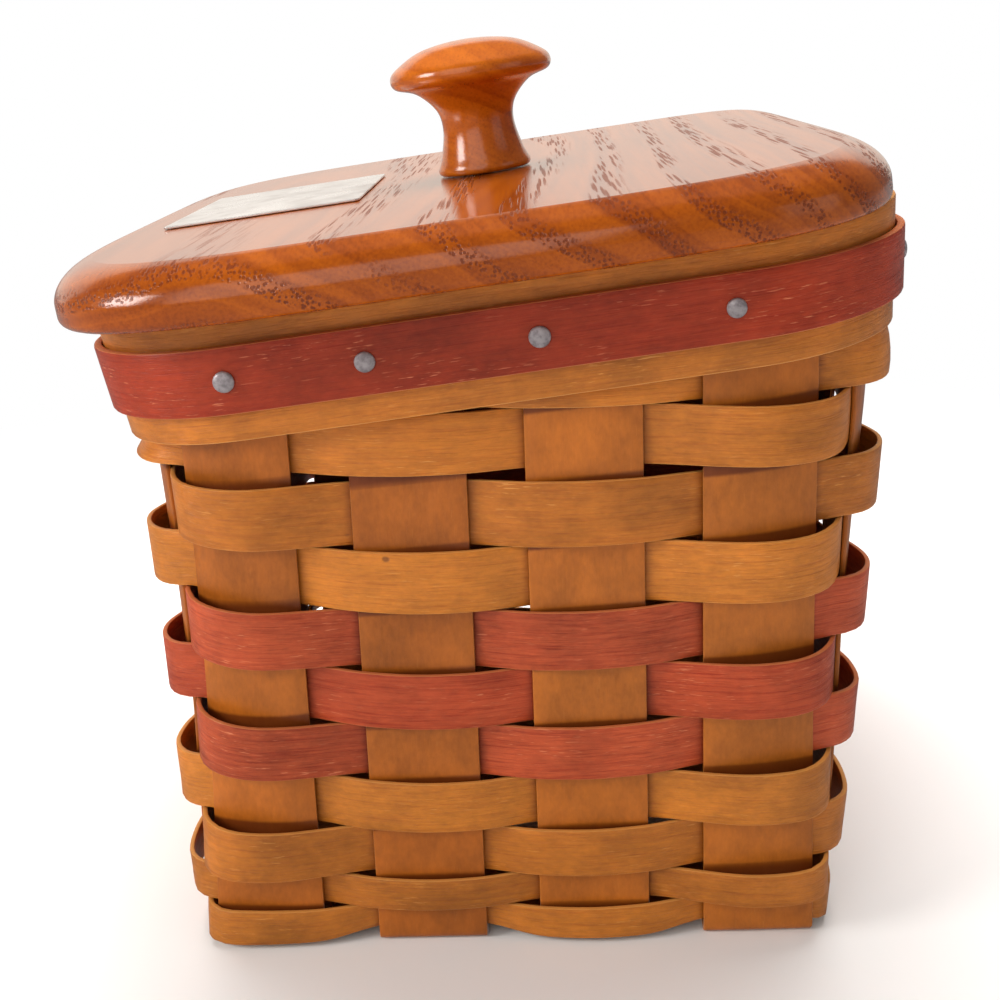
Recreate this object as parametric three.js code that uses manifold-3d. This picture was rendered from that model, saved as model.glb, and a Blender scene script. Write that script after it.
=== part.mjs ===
// Lidded splint basket with a sloping rim, a solid wood lid and a turned knob.
// Millimetres, +Z up. The low end of the rim is towards -X and the basket stands on z = 0.
// The origin is the middle of the whole outline seen from above.
import * as THREE from "three";
import { mergeVertices } from "three/addons/utils/BufferGeometryUtils.js";
import Module from "manifold-3d";

const wasm = await Module();
wasm.setup();

// Clearances
const seatGap = 0.3; // between pieces that touch
const rowGap = 0.4; // between one weaver and the next
const edgeRoom = 0.3; // how far past a splint's edge a weaver stays clear of it
const cleatRoom = 0.7; // between the cleats' low ends and the rim

// Basket body, measured on the middle of the splints' thickness
const body = { halfX: 63.3, halfY: 74.0, corner: 3.0 };
const grow = { left: 0.056, right: 0.092, y: 0.004, corner: 0.19, bow: 0.005 }; // per mm of height
const cornerOpen = { left: 9.5, right: 2.5 }; // how much rounder still the corners are half way up

// Upright splints: four run front to back and four side to side, crossing under the basket
const splint = { width: 22.2, thickness: 1.0, bend: 1.5, count: 4 }; // count is of one face
const cornerRoom = { front: 2.3, side: 8.9 }; // from the outermost splint to the body's side
const splintTopRoom = 0.5; // below the rim's top
// Rows at whose feet a splint's wall has a section: at the corners, and on the flat of a face
const splintRows = { corner: [9, 7, 5, 4, 3, 2], flat: [9, 2] };

// Weavers, from the base up
const weaver = { thickness: 1.0, bulge: 1.2, cornerBulge: 3.8, count: 11 };
const lowest = { outside: 1.2, inside: 2.9, cornerBulge: 0.8 }; // the lowest weaver's feet and loops
const loopShares = { edge: 0.8, turn: 0.5, corner: 0.2 }; // of the loop's bulge, away from its middle
// Heights of the rows as shares: two narrow ones, then each a step more than the one below
const rows = { narrow: 1, narrowCount: 2, first: 1.48, step: 0.066, topRoom: 2.6 };
const cornerRise = { left: 4.6, right: 2.8 }; // how much higher a row is there at the corners
const dyedRows = [4, 5, 6]; // the rose coloured weavers
const looseRow = { index: 9, lift: 1.6 }; // this weaver rides up and leaves slots under it
const lap = { index: 9, rowCount: 9, reach: 9.0, buttGap: 0.6 }; // rows under the rim are butted
const stationStep = 1; // least distance between two stations or levels

// Rim: a sloping frame of bands around the top
const slope = THREE.MathUtils.degToRad(6.5);
const rim = { height: 139.1, width: 24.0, flare: 0.15, inner: 1.6, outer: 2.4, room: 0.5 };
const trim = { width: 12.7, thickness: 1.6 };
const tack = { radius: 1.95, height: 0.95 };
const tackDome = { edgeShare: 0.3, browShare: 0.65, browHeight: 0.85 }; // of the radius and height
const tackPlaces = { long: [-48, -22.5, 9, 44], side: [-48, -17, 15, 47] };

// Lid
const lid = { halfX: 83.6, halfY: 95, thickness: 11.2, slide: 3.2, sides: 48 };
// How square each corner of the lid is, anticlockwise from the high end's back; 2 is an ellipse
const squareness = [8, 5, 4.5, 4.2];
const knobPlace = 1.4; // from the lid's middle towards the high end
const lidEdge = { overX: 7.6, overZ: 7.2, under: 2.0 };
const knobShape = { base: 10.7, waist: 8.3, waistZ: 10.5, cap: 18.6, capZ: 22.8, height: 30 };
const knobFoot = { band: 1.6, taper: 1.2, taperZ: 4.6 };
const knobCap = { flare: 0.9, flareZ: 4.6, hollow: 5.5, hollowZ: 3.6, lip: 0.9, lipZ: 1.9 };
const knobCrown = { edgeZ: 0.4, brow: 1.8, browZ: 2.7, share: 0.55, drop: 1.2 };
const plate = { x: 43, y: 57, thickness: 0.5, corner: 1.0, fromCentre: 45.7 };
const cleat = { width: 14, depth: 8, chamfer: 1.5, fromCentre: 48 };
const woodScrew = { head: 3.0, headDepth: 1.8, shank: 1.6, bite: 6.0, fromCentre: 45 };
const knobScrew = { head: 4.0, headDepth: 2.0, shank: 2.0, bite: 12.0 };
const screwDome = { topShare: 0.7, edgeShare: 0.45 }; // of the head's radius and depth
const sides = { tack: 8, screw: 8, bore: 12, knob: 24 }; // of what is turned
const over = 1; // how far a cutter starts outside the wood

// Worked out from the sizes above
const clamp = THREE.MathUtils.clamp;
const sinSlope = Math.sin(slope);
const cosSlope = Math.cos(slope);
const tanSlope = Math.tan(slope);
const outerPlace = { front: body.halfX - cornerRoom.front, side: body.halfY - cornerRoom.side };
const frontPitch = ((outerPlace.front - splint.width / 2) * 2) / (splint.count - 1);
const sidePitch = ((outerPlace.side - splint.width / 2) * 2) / (splint.count - 1);
const weaverOffset = splint.thickness / 2 + seatGap + weaver.thickness / 2;
const weaveOut = weaverOffset + weaver.thickness / 2;
const bandIn = weaveOut + rim.room;
const trimIn = bandIn + rim.outer + seatGap;
const trimOut = trimIn + trim.thickness;
const trimTop = -(rim.width - trim.width) / 2;
const trimHeights = [trimTop - trim.width, trimTop];
const bandHeights = [-rim.width, ...trimHeights, 0];

const materials = {
  maple: new THREE.MeshStandardMaterial({ color: 0xcf9350, roughness: 0.5, metalness: 0 }),
  rose: new THREE.MeshStandardMaterial({ color: 0xb9524a, roughness: 0.55, metalness: 0 }),
  oak: new THREE.MeshStandardMaterial({ color: 0xb0651f, roughness: 0.3, metalness: 0 }),
  steel: new THREE.MeshStandardMaterial({ color: 0x9a9a9c, roughness: 0.4, metalness: 1 }),
};

// Height of the sloping rim at x, measured h square to the rim's top plane
function rimZ(x, h) {
  return rim.height + h / cosSlope + tanSlope * x;
}

// Lowest height at which an end wall and its corners meet the underside of the rim bands: the low
// end's is at its middle, and the high end's where its corners begin
function bandFoot(side) {
  let z = rim.height;
  for (let i = 0; i < 6; i++) {
    let x = -body.halfX - grow.left * z;
    if (side > 0) x = body.halfX + grow.right * z - cornerAt(cornerOpen.right, z);
    z = rimZ(x, -rim.width);
  }
  return z;
}
const footLeft = bandFoot(-1);
const footRight = bandFoot(1);

// 1 half way up the woven wall, falling to 0 at the base and at the foot of the low end's bands
function midHeight(z) {
  const share = clamp(z / footLeft, 0, 1);
  return 4 * share * (1 - share);
}

// Radius of a corner at height z
function cornerAt(open, z) {
  return body.corner + grow.corner * z + open * midHeight(z);
}

// Half sizes of the body at height z; above the bands' foot the end walls turn with the rim
function bodyAt(z) {
  const turnLeft = rim.flare + tanSlope - grow.left;
  const turnRight = rim.flare - tanSlope - grow.right;
  return {
    left: body.halfX + grow.left * z + turnLeft * Math.max(0, z - footLeft),
    right: body.halfX + grow.right * z + turnRight * Math.max(0, z - footRight),
    deep: body.halfY + grow.y * z,
    leftCorner: cornerAt(cornerOpen.left, z),
    rightCorner: cornerAt(cornerOpen.right, z),
    bow: grow.bow * z,
  };
}

// Faces run round the basket from the front, each with t along it from its middle
const faceNames = ["front", "right", "back", "left"];
const faceTurns = [
  (t, out) => [t, -out],
  (t, out) => [out, t],
  (t, out) => [-t, out],
  (t, out) => [-out, -t],
];

// Whether a station's half of its face ends at a corner of the high end, on the right
function isRight({ face, t }) {
  return face === 1 || (face === 0 && t > 0) || (face === 2 && t < 0);
}

// Where a station {face, t, turn} lies on its face: out is the face's distance from the centre, and
// straight, end and t are measured along it, to its corner's start and middle and to the station.
// turn runs from 0 at the station's t to 1 at the middle of the corner that it is nearest to.
function placeOnFace(station, size) {
  const endWall = isRight(station) ? size.right : size.left;
  const corner = isRight(station) ? size.rightCorner : size.leftCorner;
  const [out, along] = station.face % 2 ? [endWall, size.deep] : [size.deep, endWall];
  const straight = along - corner;
  const end = straight + (corner * Math.PI) / 4;
  const place = Math.abs(station.t);
  return { out, corner, straight, end, t: place + (station.turn ?? 0) * (end - place) };
}

// Point of the wall at a station and height z, off mm outside its middle surface
function wallPoint(station, z, off) {
  const size = bodyAt(z);
  const side = station.t < 0 ? -1 : 1;
  const { out, corner, straight, end, t } = placeOnFace(station, size);
  const angle = Math.max(0, t - straight) / corner;
  const push = off + size.bow * (1 - (t / end) ** 2);
  const localT = Math.min(t, straight) + (corner + push) * Math.sin(angle);
  const localOut = out - corner + (corner + push) * Math.cos(angle);
  const [x, y] = faceTurns[station.face](side * localT, localOut);
  return new THREE.Vector3(x, y, z);
}

// The same at a height h from the rim's top plane
function rimPoint(station, h, off) {
  let z = rimZ(0, h);
  let point;
  for (let i = 0; i < 8; i++) {
    point = wallPoint(station, z, off);
    z = rimZ(point.x, h);
  }
  point.z = z;
  return point;
}

// Height at which the wall turns with the rim at a station
function turnHeight(station) {
  return wallPoint(station, rim.height, 0).x < 0 ? footLeft : footRight;
}

// Closed body through sections of equal count, capped at both ends unless it is a ring.
// A section lists its outer edge and then its inner edge backwards, and both sides are split
// along the same diagonals, so that a twisted strip keeps its thickness.
function loft(sections, ring = false) {
  const count = sections[0].length;
  const points = sections.flat();
  const index = [];
  const last = ring ? sections.length : sections.length - 1;
  for (let s = 0; s < last; s++) {
    const near = s * count;
    const far = ((s + 1) % sections.length) * count;
    for (let i = 0; i < count; i++) {
      const j = (i + 1) % count;
      if (i < count / 2) index.push(near + i, near + j, far + j, near + i, far + j, far + i);
      else index.push(near + i, near + j, far + i, near + j, far + j, far + i);
    }
  }
  if (!ring) {
    const end = (sections.length - 1) * count;
    for (let i = 0; i < count / 2 - 1; i++) {
      const j = count - 1 - i;
      index.push(i, j, i + 1, j, j - 1, i + 1);
      index.push(end + i, end + i + 1, end + j, end + j, end + i + 1, end + j - 1);
    }
  }
  return bodyFrom(points, index);
}

// Geometry with its faces turned outwards
function bodyFrom(points, index) {
  let volume = 0;
  const cross = new THREE.Vector3();
  for (let i = 0; i < index.length; i += 3) {
    cross.crossVectors(points[index[i + 1]], points[index[i + 2]]);
    volume += points[index[i]].dot(cross);
  }
  if (volume < 0) index.reverse();
  const geometry = new THREE.BufferGeometry().setFromPoints(points);
  geometry.setIndex(index);
  return geometry;
}

// Cuts the tools out of a body
function cut(geometry, tools) {
  let solid = toSolid(geometry);
  for (const tool of tools) solid = solid.subtract(toSolid(tool));
  const mesh = solid.getMesh();
  const result = new THREE.BufferGeometry();
  result.setAttribute("position", new THREE.BufferAttribute(mesh.vertProperties, 3));
  result.setIndex(new THREE.BufferAttribute(mesh.triVerts, 1));
  return result;
}

function toSolid(geometry) {
  const plain = geometry.clone();
  plain.deleteAttribute("normal");
  plain.deleteAttribute("uv");
  const merged = mergeVertices(plain, 1e-4);
  return new wasm.Manifold(
    new wasm.Mesh({
      numProp: 3,
      vertProperties: new Float32Array(merged.attributes.position.array),
      triVerts: new Uint32Array(merged.index.array),
    }),
  );
}

// Upright splints in their order round the basket
const uprights = [];
for (let face = 0; face < faceNames.length; face++) {
  const pitch = face % 2 ? sidePitch : frontPitch;
  for (let i = 0; i < splint.count; i++) {
    const t = (i - (splint.count - 1) / 2) * pitch;
    uprights.push({ face, t, outer: i === 0 || i === splint.count - 1 });
  }
}

// Places across an upright: the ones next to a corner are cupped round it
function acrossUpright(upright, half) {
  const third = splint.width / 6;
  return upright.outer ? [-half, -third, third, half] : [-half, half];
}

// Section of an upright splint, from a function that places a station at an offset
function splintSection(upright, place) {
  const stations = acrossUpright(upright, splint.width / 2).map((d) => ({
    face: upright.face,
    t: upright.t + d,
  }));
  const outer = stations.map((s) => place(s, splint.thickness / 2));
  const inner = stations.map((s) => place(s, -splint.thickness / 2));
  return [...outer, ...inner.reverse()];
}

// One wall of a splint from its top down to the base, ending flat at the level it has there
function splintWall(upright, level) {
  const sections = [];
  for (const h of [-splintTopRoom, -rim.width / 2]) {
    sections.push(splintSection(upright, (s, off) => rimPoint(s, h, off)));
  }
  sections.push(splintSection(upright, (s, off) => wallPoint(s, turnHeight(s), off)));
  for (const row of upright.outer ? splintRows.corner : splintRows.flat) {
    const z = rowFoot(row);
    sections.push(splintSection(upright, (s, off) => wallPoint(s, z, off)));
  }
  const bendTop = level + splint.bend;
  for (const angle of [0, Math.PI / 4, Math.PI / 2]) {
    sections.push(
      splintSection(upright, (s, off) => {
        const reach = splint.bend + off;
        const point = wallPoint(s, bendTop, -splint.bend + reach * Math.cos(angle));
        point.z = bendTop - reach * Math.sin(angle);
        return point;
      }),
    );
  }
  return sections;
}

// Level of a splint in the base at its nth crossing, counted from where it comes down
const levels = [splint.thickness / 2, splint.thickness * 1.5 + seatGap];
function crossingLevel(own, crossing) {
  return levels[(own + crossing + 1) % 2];
}

// A whole splint: down one wall, woven under the basket and up the wall opposite
function splintStrip(own, alongFront) {
  const downFace = alongFront ? 0 : 1;
  const start = uprights[downFace * splint.count + own];
  const finish = uprights[(downFace + 3) * splint.count - 1 - own];
  const pitch = alongFront ? sidePitch : frontPitch;
  const sections = splintWall(start, crossingLevel(own, 0));
  for (let crossed = 0; crossed < splint.count; crossed++) {
    const middle = (crossed - (splint.count - 1) / 2) * pitch;
    const level = crossingLevel(own, crossed);
    for (const edge of [-1, 1]) {
      const along = middle + (edge * (splint.width + edgeRoom)) / 2;
      sections.push(
        splintSection(start, (s, off) => {
          const x = alongFront ? s.t : -along;
          const y = alongFront ? along : s.t;
          return new THREE.Vector3(x, y, level - off);
        }),
      );
    }
  }
  const up = splintWall(finish, crossingLevel(own, splint.count - 1)).reverse();
  // The far wall is listed the other way across, so each of its sections is turned over
  for (const section of up) sections.push(flipSection(section));
  return loft(sections);
}

function flipSection(section) {
  const half = section.length / 2;
  return [...section.slice(0, half).reverse(), ...section.slice(half).reverse()];
}

// Height of the foot of a weaver's row, counted from the base; the rows fill the wall up to the rim
function rowFoot(row) {
  const rimLow = rimPoint({ face: faceNames.indexOf("left"), t: 0 }, 0, 0).z;
  const fill = rimLow - rows.topRoom - lowest.outside;
  return lowest.outside + (fill * sharesBelow(row)) / sharesBelow(weaver.count);
}

function sharesBelow(row) {
  let shares = 0;
  for (let i = 0; i < row; i++) {
    const above = i - rows.narrowCount;
    shares += above < 0 ? rows.narrow : rows.first + rows.step * above;
  }
  return shares;
}

// The rows rise a little towards the corners, as straight strips do on a wall that leans out
function rowRise(station, z) {
  const { t, end } = placeOnFace(station, bodyAt(z));
  const rise = isRight(station) ? cornerRise.right : cornerRise.left;
  return rise * midHeight(z) * (t / end) ** 2;
}

// Odd rows counted from the top pass over every second upright, even rows over the others
function passesOver(row, upright) {
  return (weaver.count - 1 - row + upright) % 2 === 0;
}

// Stations of a weaver from its first end, once round, to its second end
function weaverPath(row) {
  const lapped = row < lap.rowCount;
  const seam = lap.index + (passesOver(row, lap.index) ? 1 : 0);
  const loop = row === 0 ? lowest.cornerBulge : weaver.cornerBulge;
  const path = [];
  for (let n = 0; n <= uprights.length; n++) {
    const number = (seam + n) % uprights.length;
    const upright = uprights[number];
    const side = passesOver(row, number) ? 1 : -1;
    const first = n === 0;
    const last = n === uprights.length;
    const half = splint.width / 2 + edgeRoom;
    const start = lapped ? -lap.reach : lap.buttGap / 2;
    const end = lapped ? lap.reach : -lap.buttGap / 2;
    const inward = last && lapped ? weaver.thickness + seatGap : 0;
    let places = upright.outer ? acrossUpright(upright, half) : [-half, 0, half];
    if (first) places = [start, ...places.filter((d) => d > start + stationStep)];
    if (last) places = [...places.filter((d) => d < end - stationStep), end];
    for (const d of places) {
      const middle = Math.abs(d) < half - stationStep && !first && !last;
      const off = side * weaverOffset - inward;
      const loops = side > 0 && upright.outer && (middle || d * upright.t > 0);
      const bulge = loops ? loop * (middle ? 1 : loopShares.edge) : middle ? weaver.bulge : 0;
      path.push({ face: upright.face, t: upright.t + d, off, bulge: side * bulge });
    }
    if (!last) path.push(...gapStations(number, side, loop));
  }
  return path;
}

// Stations round a corner, where the weaver crosses from one side to the other; none on the flat,
// where it runs straight from one upright to the next
function gapStations(number, side, loop = 0) {
  const upright = uprights[number];
  const next = uprights[(number + 1) % uprights.length];
  if (next.face === upright.face) return [];
  const edge = splint.width / 2 + edgeRoom;
  const off = (side * weaverOffset) / 2;
  const near = side > 0 ? loop * loopShares.turn : 0;
  const far = side < 0 ? loop * loopShares.turn : 0;
  return [
    { face: upright.face, t: upright.t + edge, turn: 0.5, off, bulge: near },
    { face: upright.face, t: upright.t + edge, turn: 1, off: 0, bulge: loop * loopShares.corner },
    { face: next.face, t: next.t - edge, turn: 0.5, off: -off, bulge: far },
  ];
}

// A weaver is bowed only where it is clear of the rim bands
function weaverStrip(row) {
  const rowLow = rowFoot(row) + (row === looseRow.index ? looseRow.lift : 0);
  const rowTop = rowFoot(row + 1) - rowGap;
  const sections = weaverPath(row).map((station) => {
    const low = row === 0 ? bottomEdge(station.off) : rowLow + rowRise(station, rowLow);
    const top = rowTop + rowRise(station, rowTop);
    const band = rimZ(wallPoint(station, top, 0).x, -rim.width) - rowGap;
    const within = (z) => clamp(z, low + stationStep, top - stationStep);
    const turns = [turnHeight(station), band].map(within);
    turns.sort((a, b) => a - b);
    turns[1] = Math.max(turns[1], turns[0] + stationStep / 2);
    const heights = rowTop > footLeft ? [low, ...turns, top] : [low, top];
    const place = (z, side) => {
      const off = station.off + (z < band - stationStep ? station.bulge : 0);
      return wallPoint(station, z, off + (side * weaver.thickness) / 2);
    };
    const outer = heights.map((z) => place(z, 1));
    const inner = heights.map((z) => place(z, -1));
    return [...outer, ...inner.reverse()];
  });
  return loft(sections);
}

// The lowest weaver dips outside the uprights and rides over their bends inside
function bottomEdge(off) {
  const share = clamp((1 - off / weaverOffset) / 2, 0, 1);
  return lowest.outside + share * (lowest.inside - lowest.outside);
}

// Stations of a rim band, once round
function bandStations() {
  const stations = [];
  uprights.forEach((upright, number) => {
    const places = upright.outer ? acrossUpright(upright, splint.width / 2) : [0];
    for (const d of places) stations.push({ face: upright.face, t: upright.t + d });
    stations.push(...gapStations(number, 0));
  });
  return stations;
}

function rimBand(heights, inside, outside) {
  const sections = bandStations().map((station) => {
    const outer = heights.map((h) => rimPoint(station, h, outside));
    const inner = heights.map((h) => rimPoint(station, h, inside));
    return [...outer, ...inner.reverse()];
  });
  return loft(sections, true);
}

// Head of a tack, hammered down on the trim band
function tackHead(station) {
  const h = -rim.width / 2;
  const seat = rimPoint(station, h, trimOut);
  const near = rimPoint({ ...station, t: station.t - 1 }, h, trimOut);
  const far = rimPoint({ ...station, t: station.t + 1 }, h, trimOut);
  const low = rimPoint(station, h - 1, trimOut);
  const high = rimPoint(station, h + 1, trimOut);
  const axis = far.sub(near).cross(high.sub(low)).normalize();
  const profile = [
    [0, 0],
    [tack.radius, 0],
    [tack.radius, tack.height * tackDome.edgeShare],
    [tack.radius * tackDome.browShare, tack.height * tackDome.browHeight],
    [0, tack.height],
  ];
  const geometry = turned(profile, sides.tack);
  const turn = new THREE.Quaternion().setFromUnitVectors(new THREE.Vector3(0, 0, 1), axis);
  geometry.applyQuaternion(turn);
  const place = seat.addScaledVector(axis, seatGap);
  geometry.translate(place.x, place.y, place.z);
  return geometry;
}

// Turned body from [radius, height] pairs, standing along +Z
function turned(profile, segments) {
  const points = profile.map(([r, z]) => new THREE.Vector2(r, z));
  const geometry = new THREE.LatheGeometry(points, segments);
  geometry.rotateX(Math.PI / 2);
  return geometry;
}

// Plan outline of the lid, drawn in from its edge by inset: bowed sides running into round corners
function lidOutline(inset, z) {
  const points = [];
  for (let i = 0; i < lid.sides; i++) {
    const angle = (i / lid.sides) * 2 * Math.PI;
    const power = 2 / squareness[Math.floor((4 * i) / lid.sides)];
    const x = Math.sign(Math.cos(angle)) * Math.abs(Math.cos(angle)) ** power;
    const y = Math.sign(Math.sin(angle)) * Math.abs(Math.sin(angle)) ** power;
    points.push(new THREE.Vector3(x * (lid.halfX - inset), y * (lid.halfY - inset), z));
  }
  return points;
}

function lidBlank() {
  const rings = [];
  for (const angle of [90, 45, 0]) {
    const a = THREE.MathUtils.degToRad(angle);
    rings.push([lidEdge.under * (1 - Math.cos(a)), lidEdge.under * (1 - Math.sin(a))]);
  }
  for (const angle of [0, 22.5, 45, 67.5, 90]) {
    const a = THREE.MathUtils.degToRad(angle);
    const z = lid.thickness - lidEdge.overZ * (1 - Math.sin(a));
    rings.push([lidEdge.overX * (1 - Math.cos(a)), z]);
  }
  const outlines = rings.map(([inset, z]) => lidOutline(inset, z));
  const count = outlines[0].length;
  const points = outlines.flat();
  const index = [];
  for (let r = 0; r < outlines.length - 1; r++) {
    for (let i = 0; i < count; i++) {
      const j = (i + 1) % count;
      const low = r * count;
      const high = low + count;
      index.push(low + i, low + j, high + j, low + i, high + j, high + i);
    }
  }
  points.push(new THREE.Vector3(0, 0, 0), new THREE.Vector3(0, 0, lid.thickness));
  const bottomMiddle = points.length - 2;
  const topMiddle = points.length - 1;
  const topRing = (outlines.length - 1) * count;
  for (let i = 0; i < count; i++) {
    const j = (i + 1) % count;
    index.push(bottomMiddle, j, i);
    index.push(topMiddle, topRing + i, topRing + j);
  }
  return bodyFrom(points, index);
}

// Upright cylinder from z = low to z = high
function bore(x, y, radius, low, high) {
  const geometry = new THREE.CylinderGeometry(radius, radius, high - low, sides.bore);
  geometry.rotateX(Math.PI / 2);
  geometry.translate(x, y, (low + high) / 2);
  return geometry;
}

// Where the cleats lie and how long they are: their low end stops on the inner band
const cleatDrop = -seatGap - cleat.depth;
const cleatEdge = { face: faceNames.indexOf("left"), t: cleat.fromCentre + cleat.width / 2 };
const innerWall = rimPoint(cleatEdge, cleatDrop, -bandIn - rim.inner);
const innerWallU = (innerWall.x + sinSlope * cleatDrop) / cosSlope;
const rimMiddleU = (rimEnd(1) - rimEnd(-1)) / 2;
const lidMiddleU = rimMiddleU - lid.slide;
const cleatHalf = lidMiddleU - innerWallU - cleatRoom;

// Distance of an end wall's middle from the centre, along the slope at the rim's top
function rimEnd(side) {
  const point = rimPoint({ face: faceNames.indexOf(side > 0 ? "right" : "left"), t: 0 }, 0, 0);
  return Math.abs(point.x) / cosSlope;
}

function screwPlaces() {
  const places = [];
  for (const y of [-cleat.fromCentre, cleat.fromCentre]) {
    for (const x of [-woodScrew.fromCentre, woodScrew.fromCentre]) places.push([x, y]);
  }
  return places;
}

function lidBoard() {
  const headDepth = knobScrew.headDepth + seatGap;
  const tools = [
    bore(knobPlace, 0, knobScrew.shank + seatGap, -over, lid.thickness + over),
    bore(knobPlace, 0, knobScrew.head + seatGap, -over, headDepth),
  ];
  const pilotDepth = woodScrew.bite + seatGap;
  for (const [x, y] of screwPlaces()) {
    tools.push(bore(x, y, woodScrew.shank + seatGap, -over, pilotDepth));
  }
  return cut(lidBlank(), tools);
}

// Turned knob with a blind bore for its screw
function lidKnob() {
  const boreRadius = knobScrew.shank + seatGap;
  const { base, waist, waistZ, cap, capZ, height } = knobShape;
  const outline = new THREE.SplineCurve([
    new THREE.Vector2(base, 0),
    new THREE.Vector2(base, knobFoot.band),
    new THREE.Vector2(base - knobFoot.taper, knobFoot.taperZ),
    new THREE.Vector2(waist, waistZ),
    new THREE.Vector2(waist + knobCap.flare, waistZ + knobCap.flareZ),
    new THREE.Vector2(cap - knobCap.hollow, capZ - knobCap.hollowZ),
    new THREE.Vector2(cap - knobCap.lip, capZ - knobCap.lipZ),
    new THREE.Vector2(cap, capZ + knobCrown.edgeZ),
    new THREE.Vector2(cap - knobCrown.brow, capZ + knobCrown.browZ),
    new THREE.Vector2(cap * knobCrown.share, height - knobCrown.drop),
    new THREE.Vector2(0, height),
  ]);
  const profile = outline.getPoints(16).map((p) => [Math.max(0, p.x), p.y]);
  profile[0] = [base, 0];
  profile[profile.length - 1] = [0, height];
  const boreTop = knobScrew.bite + seatGap;
  return turned([[0, boreTop], [boreRadius, boreTop], [boreRadius, 0], ...profile], sides.knob);
}

// Screw that points up, with the underside of its head at z = 0
function screw(size, length) {
  return turned(
    [
      [0, -size.headDepth],
      [size.head * screwDome.topShare, -size.headDepth],
      [size.head, -size.headDepth * screwDome.edgeShare],
      [size.head, 0],
      [size.shank, 0],
      [size.shank, length - size.shank],
      [0, length],
    ],
    sides.screw,
  );
}

function cleatBar(y) {
  const { width, depth, chamfer } = cleat;
  const shape = new THREE.Shape();
  shape.moveTo(-width / 2, 0);
  shape.lineTo(-width / 2, -depth + chamfer);
  shape.lineTo(-width / 2 + chamfer, -depth);
  shape.lineTo(width / 2 - chamfer, -depth);
  shape.lineTo(width / 2, -depth + chamfer);
  shape.lineTo(width / 2, 0);
  const bar = new THREE.ExtrudeGeometry(shape, { depth: 2 * cleatHalf, bevelEnabled: false });
  bar.rotateX(Math.PI / 2);
  bar.rotateZ(Math.PI / 2);
  bar.translate(-cleatHalf, y, 0);
  const tools = [];
  for (const [x, place] of screwPlaces()) {
    if (place !== y) continue;
    const headTop = -depth + woodScrew.headDepth + seatGap;
    tools.push(bore(x, y, woodScrew.shank + seatGap, -depth - over, over));
    tools.push(bore(x, y, woodScrew.head + seatGap, -depth - over, headTop));
  }
  return cut(bar, tools);
}

function tagPlate() {
  const { x, y, corner, thickness } = plate;
  const shape = new THREE.Shape();
  shape.moveTo(-x / 2 + corner, -y / 2);
  shape.lineTo(x / 2 - corner, -y / 2);
  shape.absarc(x / 2 - corner, -y / 2 + corner, corner, -Math.PI / 2, 0);
  shape.lineTo(x / 2, y / 2 - corner);
  shape.absarc(x / 2 - corner, y / 2 - corner, corner, 0, Math.PI / 2);
  shape.lineTo(-x / 2 + corner, y / 2);
  shape.absarc(-x / 2 + corner, y / 2 - corner, corner, Math.PI / 2, Math.PI);
  shape.lineTo(-x / 2, -y / 2 + corner);
  shape.absarc(-x / 2 + corner, -y / 2 + corner, corner, Math.PI, Math.PI * 1.5);
  const options = { depth: thickness, bevelEnabled: false, curveSegments: 2 };
  return new THREE.ExtrudeGeometry(shape, options);
}

// The assembly
const basket = new THREE.Group();
const lidGroup = new THREE.Group();

function add(group, name, geometry, material, place = [0, 0, 0]) {
  const mesh = new THREE.Mesh(geometry, materials[material]);
  mesh.name = name;
  mesh.position.set(...place);
  group.add(mesh);
}

const two = (number) => String(number).padStart(2, "0");

for (let row = 0; row < weaver.count; row++) {
  const colour = dyedRows.includes(row) ? "rose" : "maple";
  add(basket, `weaver_${two(row + 1)}`, weaverStrip(row), colour);
}
for (let i = 0; i < splint.count; i++) {
  add(basket, `long_splint_${i + 1}`, splintStrip(i, true), "maple");
  add(basket, `cross_splint_${i + 1}`, splintStrip(i, false), "maple");
}
add(basket, "rim_inner_band", rimBand([-rim.width, 0], -bandIn - rim.inner, -bandIn), "maple");
add(basket, "rim_outer_band", rimBand(bandHeights, bandIn, bandIn + rim.outer), "maple");
add(basket, "trim_band", rimBand(trimHeights, trimIn, trimOut), "rose");
faceNames.forEach((name, face) => {
  const places = face % 2 ? tackPlaces.side : tackPlaces.long;
  places.forEach((t, i) => {
    const place = face === 2 ? -t : t;
    add(basket, `tack_${name}_${i + 1}`, tackHead({ face, t: place }), "steel");
  });
});

const lidTop = lid.thickness + seatGap;
add(lidGroup, "lid_board", lidBoard(), "oak");
add(lidGroup, "lid_knob", lidKnob(), "oak", [knobPlace, 0, lidTop]);
const knobScrewLength = lid.thickness - knobScrew.headDepth + knobScrew.bite;
const knobScrewPlace = [knobPlace, 0, knobScrew.headDepth];
add(lidGroup, "knob_screw", screw(knobScrew, knobScrewLength), "steel", knobScrewPlace);
add(lidGroup, "tag_plate", tagPlate(), "steel", [-plate.fromCentre, 0, lidTop]);
add(lidGroup, "lid_cleat_front", cleatBar(-cleat.fromCentre), "oak", [0, 0, -seatGap]);
add(lidGroup, "lid_cleat_back", cleatBar(cleat.fromCentre), "oak", [0, 0, -seatGap]);
screwPlaces().forEach(([x, y], i) => {
  const headSeat = -cleat.depth + woodScrew.headDepth - seatGap;
  const length = -headSeat + woodScrew.bite - seatGap;
  add(lidGroup, `cleat_screw_${i + 1}`, screw(woodScrew, length), "steel", [x, y, headSeat]);
});
lidGroup.rotation.y = -slope;
lidGroup.position.set(
  cosSlope * lidMiddleU - sinSlope * seatGap,
  0,
  rim.height + sinSlope * lidMiddleU + cosSlope * seatGap,
);
basket.add(lidGroup);

// The lid's low end and the rim's high end reach out furthest: the origin lies halfway between
const reach = new THREE.Box3().setFromObject(basket, true);
basket.position.x = -(reach.min.x + reach.max.x) / 2;

export default basket;
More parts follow.
